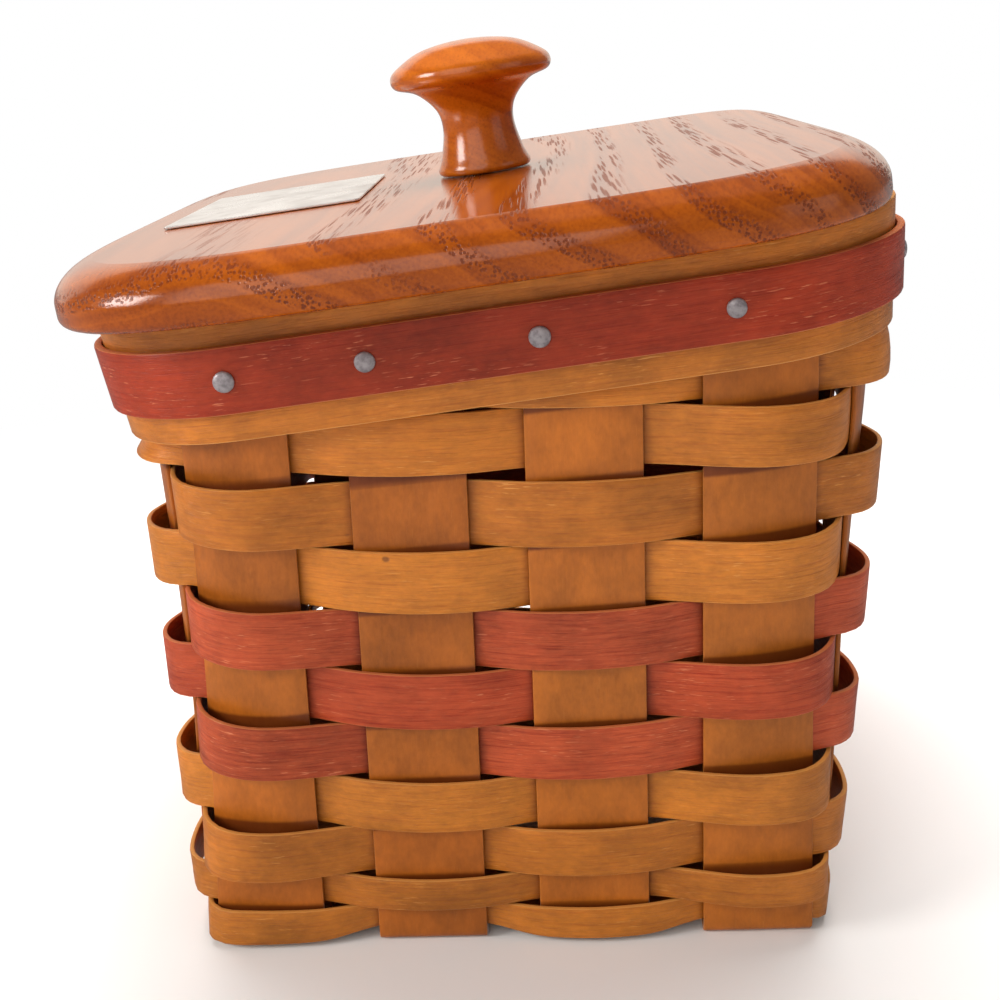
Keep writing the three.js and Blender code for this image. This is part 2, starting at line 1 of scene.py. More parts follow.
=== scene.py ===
"""Looks of the lidded splint basket: woven maple and rose splints, a nailed rim, an oak lid.

Sizes are in millimetres until a mesh is made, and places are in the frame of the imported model:
+Z up, the rim's low end towards -X, the basket standing on z = 0.
"""
import math

import bmesh
import bpy
import numpy as np
from mathutils import Matrix, Vector


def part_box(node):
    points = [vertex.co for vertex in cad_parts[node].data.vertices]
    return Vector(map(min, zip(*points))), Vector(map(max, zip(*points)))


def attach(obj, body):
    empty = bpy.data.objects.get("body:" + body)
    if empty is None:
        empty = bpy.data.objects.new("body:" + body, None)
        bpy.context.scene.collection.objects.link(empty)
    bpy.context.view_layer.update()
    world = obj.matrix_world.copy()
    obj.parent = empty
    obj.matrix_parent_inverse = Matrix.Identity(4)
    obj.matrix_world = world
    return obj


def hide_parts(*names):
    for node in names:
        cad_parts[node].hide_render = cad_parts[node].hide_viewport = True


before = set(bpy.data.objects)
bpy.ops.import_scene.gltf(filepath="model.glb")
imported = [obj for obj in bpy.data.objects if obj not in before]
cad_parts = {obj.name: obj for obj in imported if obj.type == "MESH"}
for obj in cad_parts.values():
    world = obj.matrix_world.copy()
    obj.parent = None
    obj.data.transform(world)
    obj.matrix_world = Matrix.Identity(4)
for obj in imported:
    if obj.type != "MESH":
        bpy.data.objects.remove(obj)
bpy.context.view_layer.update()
MM = 0.001

# Photograph's camera, from a fit to the splint rows, the rim, the lid and the knob
CAMERA_PLACE = (9.72, -314.54, 178.62)
CAMERA_YAW, CAMERA_PITCH, CAMERA_ROLL = -0.0264, 0.2344, 0.0385
CAMERA_LENS = 48.14
CAMERA_SHIFT = (-0.0011, -0.1346)

# Basket body, on the middle of the splints' thickness
HALF_X, HALF_Y, BASE_CORNER = 63.3, 74.0, 3.0
GROW_LEFT, GROW_RIGHT, GROW_Y, GROW_CORNER, GROW_BOW = 0.056, 0.092, 0.004, 0.19, 0.005
OPEN_LEFT, OPEN_RIGHT = 6.0, 2.5
SPLINT_WIDTH, SPLINT_THICK, SPLINT_BEND, SPLINTS = 22.2, 1.0, 1.5, 4
FRONT_ROOM, SIDE_ROOM = 2.3, 8.9
SEAT_GAP, ROW_GAP, EDGE_ROOM = 0.3, 0.4, 0.3
WEAVER_THICK, BULGE, CORNER_BULGE, ROWS = 1.0, 1.2, 3.0, 11
LOWEST_OUTSIDE, LOWEST_INSIDE, LOWEST_BULGE = 1.2, 2.9, 0.8
NARROW_SHARE, NARROW_ROWS, FIRST_SHARE, SHARE_STEP, TOP_ROOM = 1, 2, 1.48, 0.066, 2.6
RISE_LEFT, RISE_RIGHT = 4.6, 2.8
DYED_ROWS = (4, 5, 6)
LOOSE_ROW, LOOSE_LIFT = 9, 1.6
LAP_UPRIGHT, LAP_REACH, LAPPED_ROWS, BUTT_GAP = 9, 9.0, 9, 0.6

# How softly the strips bend, how far the painted shade of the weave's hollows fades, and the steps they
# are drawn in
OFFSET_EASE, BULGE_EASE, FLOOR_EASE, BAND_FADE, HOLLOW_SHADE_FADE = 2.5, 4.0, 1.5, 3.0, 2.2
ROW_STEP, SPLINT_STEP, BAND_STEP = 1.8, 1.3, 2.5
ROW_COLUMNS, WIDE_COLUMNS, ROW_WAVINESS = 7, 9, 0.12
SPLINT_EDGE, BAND_EDGE = 0.28, 0.45

# Rim
SLOPE = math.radians(6.5)
RIM_HEIGHT, RIM_WIDTH, RIM_FLARE, RIM_INNER, RIM_OUTER, RIM_ROOM = 139.1, 24.0, 0.15, 1.6, 2.4, 0.5
TRIM_WIDTH, TRIM_THICK = 12.7, 1.6
SPLINT_TOP_ROOM = 0.5
TACK_RADIUS, TACK_HEIGHT = 1.95, 0.95
TACKS_LONG, TACKS_SIDE = (-48, -22.5, 9, 44), (-48, -17, 15, 47)

# Lid
LID_HALF_X, LID_HALF_Y, LID_THICK = 83.6, 95.0, 11.2
LID_SQUARENESS = (8, 5, 4.5, 4.2)
OVER_X, OVER_Z, UNDER, ROUND_END = 7.6, 7.2, 2.0, math.radians(77)
PLATE_X, PLATE_Y, PLATE_THICK, PLATE_CORNER = 43.0, 57.0, 0.5, 1.0
KNOB_BASE, KNOB_WAIST, KNOB_WAIST_Z = 10.7, 8.3, 10.5
KNOB_CAP, KNOB_CAP_Z, KNOB_HEIGHT = 18.6, 22.8, 30.0
KNOB_SCREW_HEAD, KNOB_SCREW_DEPTH = 4.0, 2.0

FRONT_PITCH = (HALF_X - FRONT_ROOM - SPLINT_WIDTH / 2) * 2 / (SPLINTS - 1)
SIDE_PITCH = (HALF_Y - SIDE_ROOM - SPLINT_WIDTH / 2) * 2 / (SPLINTS - 1)
WEAVER_OFFSET = SPLINT_THICK / 2 + SEAT_GAP + WEAVER_THICK / 2
BAND_IN = WEAVER_OFFSET + WEAVER_THICK / 2 + RIM_ROOM
TRIM_IN = BAND_IN + RIM_OUTER + SEAT_GAP
TRIM_TOP = -(RIM_WIDTH - TRIM_WIDTH) / 2
SIN, COS, TAN = math.sin(SLOPE), math.cos(SLOPE), math.tan(SLOPE)


def node_middle(name):
    low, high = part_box(name)
    return [(a + b) / 2 / MM for a, b in zip(low, high)]


# The basket's own middle lies a little towards +X of the frame's origin
SHIFT_X = (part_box("long_splint_2")[0][0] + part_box("long_splint_3")[1][0]) / 2 / MM


# Wall of the basket

def clamp(value, low, high):
    return min(max(value, low), high)


def rim_z(x, h):
    """Height of the sloping rim at x, h square to the rim's top plane."""
    return RIM_HEIGHT + h / COS + TAN * x


def band_foot(side):
    """Height at which the low end's middle, or the high end's corners, meet the rim bands."""
    z = RIM_HEIGHT
    for _ in range(6):
        x = -HALF_X - GROW_LEFT * z
        if side > 0:
            x = HALF_X + GROW_RIGHT * z - corner_at(OPEN_RIGHT, z)
        z = rim_z(x, -RIM_WIDTH)
    return z


def mid_height(z):
    """1 half way up the woven wall, falling to 0 at the base and at the low end's bands."""
    share = clamp(z / FOOT_LEFT, 0, 1)
    return 4 * share * (1 - share)


def corner_at(more, z):
    """Radius of a corner at height z."""
    return BASE_CORNER + GROW_CORNER * z + more * mid_height(z)


FOOT_LEFT = band_foot(-1)
FOOT_RIGHT = band_foot(1)


def is_right(face, t):
    """Whether this half of the face ends at one of the high end's corners."""
    return face == 1 or (face == 0 and t > 0) or (face == 2 and t < 0)


def place_on_face(face, t, z, turn):
    """The face's distance out, its corner's radius, start and middle, and the place along it."""
    grow, foot, more, tilt = (
        (GROW_RIGHT, FOOT_RIGHT, OPEN_RIGHT, -TAN) if is_right(face, t)
        else (GROW_LEFT, FOOT_LEFT, OPEN_LEFT, TAN)
    )
    corner = corner_at(more, z)
    end_wall = HALF_X + grow * z + (RIM_FLARE + tilt - grow) * max(0, z - foot)
    deep = HALF_Y + GROW_Y * z
    out, along = (end_wall, deep) if face % 2 else (deep, end_wall)
    straight = along - corner
    end = straight + corner * math.pi / 4
    return out, corner, straight, end, abs(t) + turn * (end - abs(t))


def wall_point(face, t, z, off, turn=0.0):
    """Point of the wall t along a face from its middle, off outside its middle surface."""
    out, corner, straight, end, place = place_on_face(face, t, z, turn)
    side = -1 if t < 0 else 1
    angle = max(0, place - straight) / corner
    push = off + GROW_BOW * z * (1 - (place / end) ** 2)
    local_t = side * (min(place, straight) + (corner + push) * math.sin(angle))
    local_out = out - corner + (corner + push) * math.cos(angle)
    x, y = ((local_t, -local_out), (local_out, local_t),
            (-local_t, local_out), (-local_out, -local_t))[face]
    return np.array((x + SHIFT_X, y, z))


def rim_point(face, t, h, off, turn=0.0):
    z = rim_z(0, h)
    for _ in range(8):
        point = wall_point(face, t, z, off, turn)
        z = rim_z(point[0] - SHIFT_X, h)
    point[2] = z
    return point


def eased(places, values, wanted, width):
    """Values joined by straight lines, with every bend softened over this width."""
    step = 0.5
    fine = np.arange(places[0] - 4 * width, places[-1] + 4 * width, step)
    reach = np.arange(-4 * width, 4 * width + step, step)
    weights = np.exp(-0.5 * (reach / width) ** 2)
    soft = np.convolve(np.interp(fine, places, values), weights / weights.sum(), "same")
    return np.interp(wanted, fine, soft)


# Uprights and the path of a weaver between them

UPRIGHTS = [
    {"face": face, "t": (i - (SPLINTS - 1) / 2) * (SIDE_PITCH if face % 2 else FRONT_PITCH),
     "outer": i in (0, SPLINTS - 1)}
    for face in range(4)
    for i in range(SPLINTS)
]


def passes_over(row, upright):
    return (ROWS - 1 - row + upright) % 2 == 0


def shares_below(row):
    steady = [FIRST_SHARE + SHARE_STEP * (i - NARROW_ROWS) for i in range(NARROW_ROWS, row)]
    return NARROW_SHARE * min(row, NARROW_ROWS) + sum(steady)


def row_foot(row):
    """Height of a row's foot; the rows share the wall up to the rim's low end."""
    fill = rim_point(3, 0, 0, 0)[2] - TOP_ROOM - LOWEST_OUTSIDE
    return LOWEST_OUTSIDE + fill * shares_below(row) / shares_below(ROWS)


def row_rise(face, t, z, turn):
    """How much higher a row lies here than in the middle of its face."""
    end, place = place_on_face(face, t, z, turn)[3:]
    rise = RISE_RIGHT if is_right(face, t) else RISE_LEFT
    return rise * mid_height(z) * (place / end) ** 2


def gap_stations(number, side, loop=0.0):
    """Stations (face, t, turn, offset, bulge) round a corner between two uprights."""
    upright, following = UPRIGHTS[number], UPRIGHTS[(number + 1) % len(UPRIGHTS)]
    if following["face"] == upright["face"]:
        return []
    edge = SPLINT_WIDTH / 2 + EDGE_ROOM
    off = side * WEAVER_OFFSET / 2
    near, far = upright["t"] + edge, following["t"] - edge
    return [
        (upright["face"], near, 0.5, off, loop * 0.5 * (side > 0)),
        (upright["face"], near, 1.0, 0, loop * 0.2),
        (following["face"], far, 1.0, 0, loop * 0.2),
        (following["face"], far, 0.5, -off, loop * 0.5 * (side < 0)),
    ]


def weaver_stations(row):
    lapped = row < LAPPED_ROWS
    seam = LAP_UPRIGHT + passes_over(row, LAP_UPRIGHT)
    loop = LOWEST_BULGE if row == 0 else CORNER_BULGE
    half, third = SPLINT_WIDTH / 2 + EDGE_ROOM, SPLINT_WIDTH / 6
    path = []
    for n in range(len(UPRIGHTS) + 1):
        number = (seam + n) % len(UPRIGHTS)
        upright = UPRIGHTS[number]
        side = 1 if passes_over(row, number) else -1
        first, last = n == 0, n == len(UPRIGHTS)
        places = [-half, -third, third, half] if upright["outer"] else [-half, 0, half]
        if first:
            start = -LAP_REACH if lapped else BUTT_GAP / 2
            places = [start] + [d for d in places if d > start + 1]
        if last:
            end = LAP_REACH if lapped else -BUTT_GAP / 2
            places = [d for d in places if d < end - 1] + [end]
        inward = WEAVER_THICK + SEAT_GAP if last and lapped else 0
        for d in places:
            middle = abs(d) < half - 1 and not first and not last
            loops = side > 0 and upright["outer"] and (middle or d * upright["t"] > 0)
            own = loop * (1 if middle else 0.8) if loops else BULGE * middle
            off = side * WEAVER_OFFSET - inward
            path.append((upright["face"], upright["t"] + d, 0, off, side * own))
        if not last:
            path += gap_stations(number, side, loop)
    return path


def dense_path(stations, z, spacing):
    """Stations every few millimetres, with offset and bulge eased between the given ones."""
    points = [wall_point(face, t, z, 0, turn) for face, t, turn, _, _ in stations]
    lengths = np.cumsum([0] + [max(np.linalg.norm(b - a), 1e-3) for a, b in zip(points, points[1:])])
    wanted, spots = [], []
    for i in range(len(stations) - 1):
        if stations[i][0] != stations[i + 1][0]:
            continue
        steps = max(1, round((lengths[i + 1] - lengths[i]) / spacing))
        for k in range(steps):
            share = k / steps
            wanted.append(lengths[i] + share * (lengths[i + 1] - lengths[i]))
            spots.append((i, share))
    wanted.append(lengths[-1])
    spots.append((len(stations) - 2, 1.0))
    offs = eased(lengths, [s[3] for s in stations], wanted, OFFSET_EASE)
    bulges = eased(lengths, [s[4] for s in stations], wanted, BULGE_EASE)
    path = []
    for (i, share), off, bulge in zip(spots, offs, bulges):
        face, t0, turn0 = stations[i][:3]
        t1, turn1 = stations[i + 1][1:3]
        path.append((face, t0 + share * (t1 - t0), turn0 + share * (turn1 - turn0), off, bulge))
    return path


# Sheets swept along three rails, the geometry nodes that make every splint and band

class Tree:
    """A node tree being built: node() adds one, sets its inputs and returns it."""

    def __init__(self, name, kind):
        self.tree = bpy.data.node_groups.new(name, kind) if isinstance(kind, str) else kind
        self.names = {}

    def socket(self, name, kind, side="INPUT"):
        made = self.tree.interface.new_socket(name, in_out=side, socket_type="NodeSocket" + kind)
        if side == "INPUT":
            self.names[name] = made.identifier

    def give(self, **results):
        out = self.node("NodeGroupOutput")
        for name, result in results.items():
            self.feed(out.inputs[name], result)

    def node(self, kind, inputs=None, **settings):
        made = self.tree.nodes.new(kind)
        for key, value in settings.items():
            setattr(made, key, value)
        for key, value in (inputs or {}).items():
            self.feed(made.inputs[key], value)
        return made

    def feed(self, socket, value):
        if isinstance(value, bpy.types.NodeSocket):
            self.tree.links.new(value, socket)
        elif isinstance(value, bpy.types.Node):
            self.tree.links.new(value.outputs[0], socket)
        else:
            socket.default_value = value

    def math(self, operation, *values, clamped=False):
        made = self.node("ShaderNodeMath", operation=operation, use_clamp=clamped)
        for socket, value in zip(made.inputs, values):
            self.feed(socket, value)
        return made.outputs[0]

    def chain(self, operation, values, clamped):
        """The values joined one after another; only the last step may be clamped."""
        result = values[0]
        for value in values[1:-1]:
            result = self.math(operation, result, value)
        return self.math(operation, result, values[-1], clamped=clamped)

    def times(self, *values, clamped=False):
        return self.chain("MULTIPLY", values, clamped)

    def plus(self, *values, clamped=False):
        return self.chain("ADD", values, clamped)

    def minus(self, start, taken):
        return self.math("SUBTRACT", start, taken)

    def vector(self, operation, start, other=None):
        made = self.node("ShaderNodeVectorMath", {0: start}, operation=operation)
        if other is not None:
            self.feed(made.inputs["Scale" if operation == "SCALE" else 1], other)
        return made.outputs["Value" if operation == "LENGTH" else "Vector"]

    def mix(self, factor, a, b):
        return self.node("ShaderNodeMix", {0: factor, 6: a, 7: b}, data_type="RGBA").outputs[2]

    def ramp(self, value, low, high):
        """0 at low and 1 at high, eased at both ends."""
        return self.node("ShaderNodeMapRange", {0: value, 1: low, 2: high},
                         interpolation_type="SMOOTHSTEP").outputs[0]

    def noise(self, vector, scale=1.0, detail=3.0, rough=0.55, distortion=0.0):
        return self.node("ShaderNodeTexNoise", {
            "Vector": vector, "Scale": scale, "Detail": detail, "Roughness": rough,
            "Distortion": distortion}).outputs[0]

    def voronoi(self, vector):
        return self.node("ShaderNodeTexVoronoi", {"Vector": vector, "Scale": 1.0}).outputs

    def named(self, name, kind="FLOAT"):
        return self.node("GeometryNodeInputNamedAttribute", {"Name": name}, data_type=kind).outputs[0]

    def store(self, geometry, name, value, kind="FLOAT", domain="POINT"):
        return self.node("GeometryNodeStoreNamedAttribute",
                         {"Geometry": geometry, "Name": name, "Value": value},
                         data_type=kind, domain=domain)

    def plain(self, geometry, material):
        real = self.node("GeometryNodeRealizeInstances", {"Geometry": geometry})
        return self.node("GeometryNodeSetMaterial", {"Geometry": real, "Material": material})


def sheet_tree():
    """Sheet between three rails: lengthwise along a path, across through low, middle and high."""
    t = Tree("splint_sheet", "GeometryNodeTree")
    for name, kind in (("Rails", "Geometry"), ("Width", "Float"), ("Columns", "Int"),
                       ("Waviness", "Float"), ("Seed", "Float"), ("Streaks", "Float"),
                       ("Darkness", "Float"), ("Material", "Material")):
        t.socket(name, kind)
    t.socket("Sheet", "Geometry", "OUTPUT")
    given = t.node("NodeGroupInput").outputs
    length = t.node("GeometryNodeSplineParameter").outputs["Length"]
    path = t.store(t.node("GeometryNodeMeshToCurve", {"Mesh": given["Rails"]}), "along", length)
    line = t.node("GeometryNodeCurvePrimitiveLine", {"Start": (-1, 0, 0), "End": (1, 0, 0)})
    line = t.node("GeometryNodeResampleCurve", {"Curve": line, "Count": given["Columns"]})
    place = t.node("ShaderNodeSeparateXYZ", {0: t.node("GeometryNodeInputPosition")})
    line = t.store(line, "across", place)
    sheet = t.node("GeometryNodeCurveToMesh", {"Curve": path, "Profile Curve": line})

    across, along, seed = t.named("across"), t.named("along"), given["Seed"]
    square = t.times(across, across)
    shares = (
        t.times(t.minus(square, across), 0.5),
        t.minus(1.0, square),
        t.times(t.plus(square, across), 0.5),
    )
    low, middle, high = [
        t.vector("SCALE", t.named(name, "FLOAT_VECTOR"), share)
        for name, share in zip(("rail_low", "rail_middle", "rail_high"), shares)
    ]
    spot = t.vector("ADD", t.vector("ADD", low, middle), high)
    sheet = t.node("GeometryNodeSetPosition", {"Geometry": sheet, "Position": spot})
    where = t.node("ShaderNodeCombineXYZ",
                   {"X": t.times(along, 28.0), "Y": t.times(across, 0.5), "Z": seed})
    swing = t.times(t.minus(t.noise(where, 1.0, 1.0), 0.5), given["Waviness"])
    push = t.vector("SCALE", t.node("GeometryNodeInputNormal"), swing)
    sheet = t.node("GeometryNodeSetPosition", {"Geometry": sheet, "Offset": push})
    half = t.times(given["Width"], 0.5)
    grain = t.node("ShaderNodeCombineXYZ", {"X": along, "Y": t.times(across, half)})
    edge = t.node("ShaderNodeCombineXYZ", {"X": across, "Y": seed})
    for name, value in (("UVMap", grain), ("edge_seed", edge)):
        sheet = t.store(sheet, name, value, "FLOAT2", "CORNER")
    # Per-piece darkening: random tone, and painted shade from the lid on the rim bands
    for name, key in (("streaks", "Streaks"), ("darkness", "Darkness")):
        sheet = t.store(sheet, name, given[key])
    sheet = t.node("GeometryNodeMergeByDistance", {"Geometry": sheet, "Distance": 1e-5})
    t.give(Sheet=t.plain(sheet, given["Material"]))
    return t


def plain_mesh(piece, name):
    """Freezes a piece's modifiers into its mesh."""
    graph = bpy.context.evaluated_depsgraph_get()
    mesh = bpy.data.meshes.new_from_object(piece.evaluated_get(graph))
    piece.modifiers.clear()
    piece.data = mesh
    mesh.name = name
    return mesh


def new_piece(name, data):
    piece = bpy.data.objects.new(name, data)
    bpy.context.scene.collection.objects.link(piece)
    return piece


def smooth(mesh, degrees):
    mesh.polygons.foreach_set("use_smooth", [True] * len(mesh.polygons))
    mesh.set_sharp_from_angle(angle=math.radians(degrees))


def sheet_piece(tree, name, rails, thick, width, columns, seed, material, darkness,
                waviness=0.0, streaks=1.0, edge=SPLINT_EDGE, hollow=None):
    """A strip of wood from its three rails, each a list of points in millimetres."""
    mesh = bpy.data.meshes.new(name)
    middle = [tuple(p * MM) for p in rails[1]]
    mesh.from_pydata(middle, [(i, i + 1) for i in range(len(middle) - 1)], [])
    for label, rail in zip(("rail_low", "rail_middle", "rail_high"), rails):
        layer = mesh.attributes.new(label, "FLOAT_VECTOR", "POINT")
        layer.data.foreach_set("vector", (np.array(rail) * MM).ravel())
    # Per-point painted shade for the weave's hollows
    if hollow is not None:
        mesh.attributes.new("hollow", "FLOAT", "POINT").data.foreach_set("value", hollow)
    piece = new_piece(name, mesh)
    sweep = piece.modifiers.new("sheet", "NODES")
    sweep.node_group = tree.tree
    inputs = {"Width": width * MM, "Columns": columns, "Waviness": waviness * MM, "Seed": seed,
              "Streaks": streaks, "Darkness": darkness, "Material": material}
    for key, value in inputs.items():
        sweep[tree.names[key]] = value
    wall = piece.modifiers.new("thickness", "SOLIDIFY")
    wall.thickness = thick * MM
    wall.offset = 0
    wall.use_even_offset = True
    rounding = piece.modifiers.new("rounding", "BEVEL")
    rounding.width = edge * MM
    rounding.segments = 2
    rounding.limit_method = "ANGLE"
    rounding.angle_limit = math.radians(50)
    made = plain_mesh(piece, name)
    for label in ("rail_low", "rail_middle", "rail_high", "along", "across"):
        if label in made.attributes:
            made.attributes.remove(made.attributes[label])
    if hollow is not None:
        keep_hollow_shade_outside(made)
    smooth(made, 40)
    return piece


def keep_hollow_shade_outside(mesh):
    """Keeps the painted shade of the weave's hollows off the faces that look into the basket."""
    count = len(mesh.vertices)
    places, normals, dark = np.empty(count * 3), np.empty(count * 3), np.empty(count)
    mesh.vertices.foreach_get("co", places)
    mesh.vertices.foreach_get("normal", normals)
    layer = mesh.attributes["hollow"].data
    layer.foreach_get("value", dark)
    outward = places.reshape(-1, 3) * (1, 1, 0) - (SHIFT_X * MM, 0, 0)
    looks_out = (outward * normals.reshape(-1, 3)).sum(axis=1) > 0
    layer.foreach_set("value", dark * looks_out)


# Pieces of the basket

def weaver_rails(row):
    foot = row_foot(row) + (LOOSE_LIFT if row == LOOSE_ROW else 0)
    head = row_foot(row + 1) - ROW_GAP
    rails, hollow = [[], [], []], []
    for face, t, turn, off, bulge in dense_path(weaver_stations(row), (foot + head) / 2, ROW_STEP):
        # Painted shade: 1 where the weaver runs behind an upright, darkening it there
        hollow.append(clamp(-off / WEAVER_OFFSET, 0, 1))
        low = foot + row_rise(face, t, foot, turn)
        top = head + row_rise(face, t, head, turn)
        if row == 0:
            share = clamp((1 - off / WEAVER_OFFSET) / 2, 0, 1)
            low = LOWEST_OUTSIDE + share * (LOWEST_INSIDE - LOWEST_OUTSIDE)
        band = rim_z(wall_point(face, t, top, 0, turn)[0] - SHIFT_X, -RIM_WIDTH) - ROW_GAP
        for rail, z in zip(rails, (low, (low + top) / 2, top)):
            free = clamp((band - z) / BAND_FADE, 0, 1)
            rail.append(wall_point(face, t, z, off + bulge * free, turn))
    return rails, hollow


def wall_rails(upright, level):
    """Rails of one wall of a splint, from its top down to where it lies flat at its level."""
    face, t = upright["face"], upright["t"]
    edges = [t - SPLINT_WIDTH / 2, t, t + SPLINT_WIDTH / 2]
    bend_top = level + SPLINT_BEND
    top = rim_z(wall_point(face, t, RIM_HEIGHT, 0)[0] - SHIFT_X, -SPLINT_TOP_ROOM)
    count = round((top - bend_top) / SPLINT_STEP)
    number = UPRIGHTS.index(upright)
    rails = []
    for edge in edges:
        own_top = rim_point(face, edge, -SPLINT_TOP_ROOM, 0)[2]
        heights = np.linspace(own_top, bend_top, count + 1)
        rail = [wall_point(face, edge, z, 0) for z in heights]
        for angle in np.radians((18, 36, 54, 72, 90)):
            point = wall_point(face, edge, bend_top, SPLINT_BEND * (math.cos(angle) - 1))
            point[2] = bend_top - SPLINT_BEND * math.sin(angle)
            rail.append(point)
        rails.append(rail)
    # Painted shade on the upright where rows pass over it
    hollow = [under_rows(number, point[2]) for point in rails[1]]
    return rails, hollow


def under_rows(number, z):
    """1 where rows pass over this upright at height z, falling to 0 a little beyond them: the painted
    shade under those rows.
    """
    face, t = UPRIGHTS[number]["face"], UPRIGHTS[number]["t"]
    most = 0.0
    for row in range(ROWS):
        if passes_over(row, number):
            foot, head = row_foot(row), row_foot(row + 1) - ROW_GAP
            foot += row_rise(face, t, foot, 0)
            head += row_rise(face, t, head, 0)
            most = max(most, 1 - max(foot - z, z - head, 0) / HOLLOW_SHADE_FADE)
    return most


LEVELS = (SPLINT_THICK / 2, SPLINT_THICK * 1.5 + SEAT_GAP)


def splint_rails(own, long_way):
    """Rails of a whole splint: down one wall, woven under the basket and up the other."""
    down_face = 0 if long_way else 1
    first = UPRIGHTS[down_face * SPLINTS + own]
    last = UPRIGHTS[(down_face + 3) * SPLINTS - 1 - own]
    pitch = SIDE_PITCH if long_way else FRONT_PITCH
    level = [LEVELS[(own + crossing + 1) % 2] for crossing in range(SPLINTS)]
    down, hollow_down = wall_rails(first, level[0])
    up, hollow_up = wall_rails(last, level[-1])
    up = up[::-1]
    half = (SPLINT_WIDTH + EDGE_ROOM) / 2
    middles = [(c - (SPLINTS - 1) / 2) * pitch for c in range(SPLINTS)]
    alongs = [m + side * half for m in middles for side in (-1, 1)]
    heights = [z for z in level for _ in (0, 1)]
    dense = np.arange(alongs[0], alongs[-1] + 0.1, SPLINT_STEP)
    risen = eased(alongs, heights, dense, FLOOR_EASE)
    rails = []
    for k, shift in enumerate((-SPLINT_WIDTH / 2, 0, SPLINT_WIDTH / 2)):
        side = first["t"] + shift
        floor = [
            np.array((SHIFT_X + (side if long_way else -along), along if long_way else side, z))
            for along, z in zip(dense, risen)
        ]
        rails.append(down[k] + floor + up[k][::-1])
    return rails, hollow_down + [0.0] * len(dense) + hollow_up[::-1]


def band_rails(low, high, off):
    """Rails of a rim band, once round and back to its start."""
    stations = []
    for number, upright in enumerate(UPRIGHTS):
        if upright["outer"]:
            for d in (-SPLINT_WIDTH / 2, -SPLINT_WIDTH / 6, SPLINT_WIDTH / 6, SPLINT_WIDTH / 2):
                stations.append((upright["face"], upright["t"] + d, 0, 0, 0))
        else:
            stations.append((upright["face"], upright["t"], 0, 0, 0))
        stations += gap_stations(number, 0)
    joint = UPRIGHTS[LAP_UPRIGHT]
    start = [station[:2] for station in stations].index((joint["face"], joint["t"]))
    stations = stations[start:] + stations[:start + 1]
    rails = [[], [], []]
    for face, t, turn, _, _ in dense_path(stations, RIM_HEIGHT - RIM_WIDTH / 2, BAND_STEP):
        for rail, h in zip(rails, (low, (low + high) / 2, high)):
            rail.append(rim_point(face, t, h, off, turn))
    return rails


def tack_tree():
    """Instances of one tack head on points, each turned to its point's normal."""
    t = Tree("tack_heads", "GeometryNodeTree")
    for name, kind in (("Points", "Geometry"), ("Head", "Object"), ("Material", "Material")):
        t.socket(name, kind)
    t.socket("Heads", "Geometry", "OUTPUT")
    given = t.node("NodeGroupInput").outputs
    points = t.node("GeometryNodeMeshToPoints", {"Mesh": given["Points"]})
    turn = t.node("FunctionNodeAlignRotationToVector",
                  {"Vector": t.named("out_way", "FLOAT_VECTOR")}, axis="Z")
    shape = t.node("GeometryNodeObjectInfo", {"Object": given["Head"]})
    heads = t.node("GeometryNodeInstanceOnPoints",
                   {"Points": points, "Instance": shape.outputs["Geometry"], "Rotation": turn,
                    "Scale": t.named("size")})
    t.give(Heads=t.plain(heads, given["Material"]))
    return t


def lathe(name, profile, segments):
    """Closed turned mesh from (radius, z) pairs that start and end on the axis, in millimetres."""
    vertices, faces, rings = [], [], []
    for radius, z in profile:
        if radius < 1e-6:
            rings.append([len(vertices)] * segments)
            vertices.append((0, 0, z * MM))
            continue
        rings.append(list(range(len(vertices), len(vertices) + segments)))
        for i in range(segments):
            angle = 2 * math.pi * i / segments
            vertices.append((radius * math.cos(angle) * MM, radius * math.sin(angle) * MM, z * MM))
    for low, high in zip(rings, rings[1:]):
        for i in range(segments):
            j = (i + 1) % segments
            face = [low[i], low[j], high[j], high[i]]
            faces.append(list(dict.fromkeys(face)))
    mesh = bpy.data.meshes.new(name)
    mesh.from_pydata(vertices, [], faces)
    return mesh


def tack_profile():
    flat = [(0, 0), (TACK_RADIUS * 0.96, 0), (TACK_RADIUS, 0.12), (TACK_RADIUS, 0.22)]
    dome = [
        (TACK_RADIUS * math.cos(a), 0.22 + (TACK_HEIGHT - 0.22) * math.sin(a))
        for a in np.linspace(0.12, math.pi / 2, 8)
    ]
    dome[-1] = (0, TACK_HEIGHT)
    return flat + dome


def make_tacks(material):
    head = new_piece("tack_head_shape", lathe("tack_head_shape", tack_profile(), 20))
    spots, ways = [], []
    h = -RIM_WIDTH / 2
    off = TRIM_IN + TRIM_THICK
    for face in range(4):
        for place in TACKS_SIDE if face % 2 else TACKS_LONG:
            t = -place if face == 2 else place
            seat = rim_point(face, t, h, off)
            along = rim_point(face, t + 1, h, off) - rim_point(face, t - 1, h, off)
            upwards = rim_point(face, t, h + 1, off) - rim_point(face, t, h - 1, off)
            way = np.cross(along, upwards)
            ways.append(way / np.linalg.norm(way))
            spots.append((seat + ways[-1] * 0.05) * MM)
    mesh = bpy.data.meshes.new("tack_heads")
    mesh.from_pydata([tuple(p) for p in spots], [], [])
    mesh.attributes.new("out_way", "FLOAT_VECTOR", "POINT").data.foreach_set("vector", np.ravel(ways))
    sizes = np.random.default_rng(4).uniform(0.94, 1.04, len(spots))
    mesh.attributes.new("size", "FLOAT", "POINT").data.foreach_set("value", sizes)
    piece = new_piece("tack_heads", mesh)
    tree = tack_tree()
    spread = piece.modifiers.new("heads", "NODES")
    spread.node_group = tree.tree
    spread[tree.names["Head"]] = head
    spread[tree.names["Material"]] = material
    made = plain_mesh(piece, "tack_heads")
    smooth(made, 50)
    bpy.data.objects.remove(head)
    return piece


# Pieces of the lid, made flat and then set on the slope

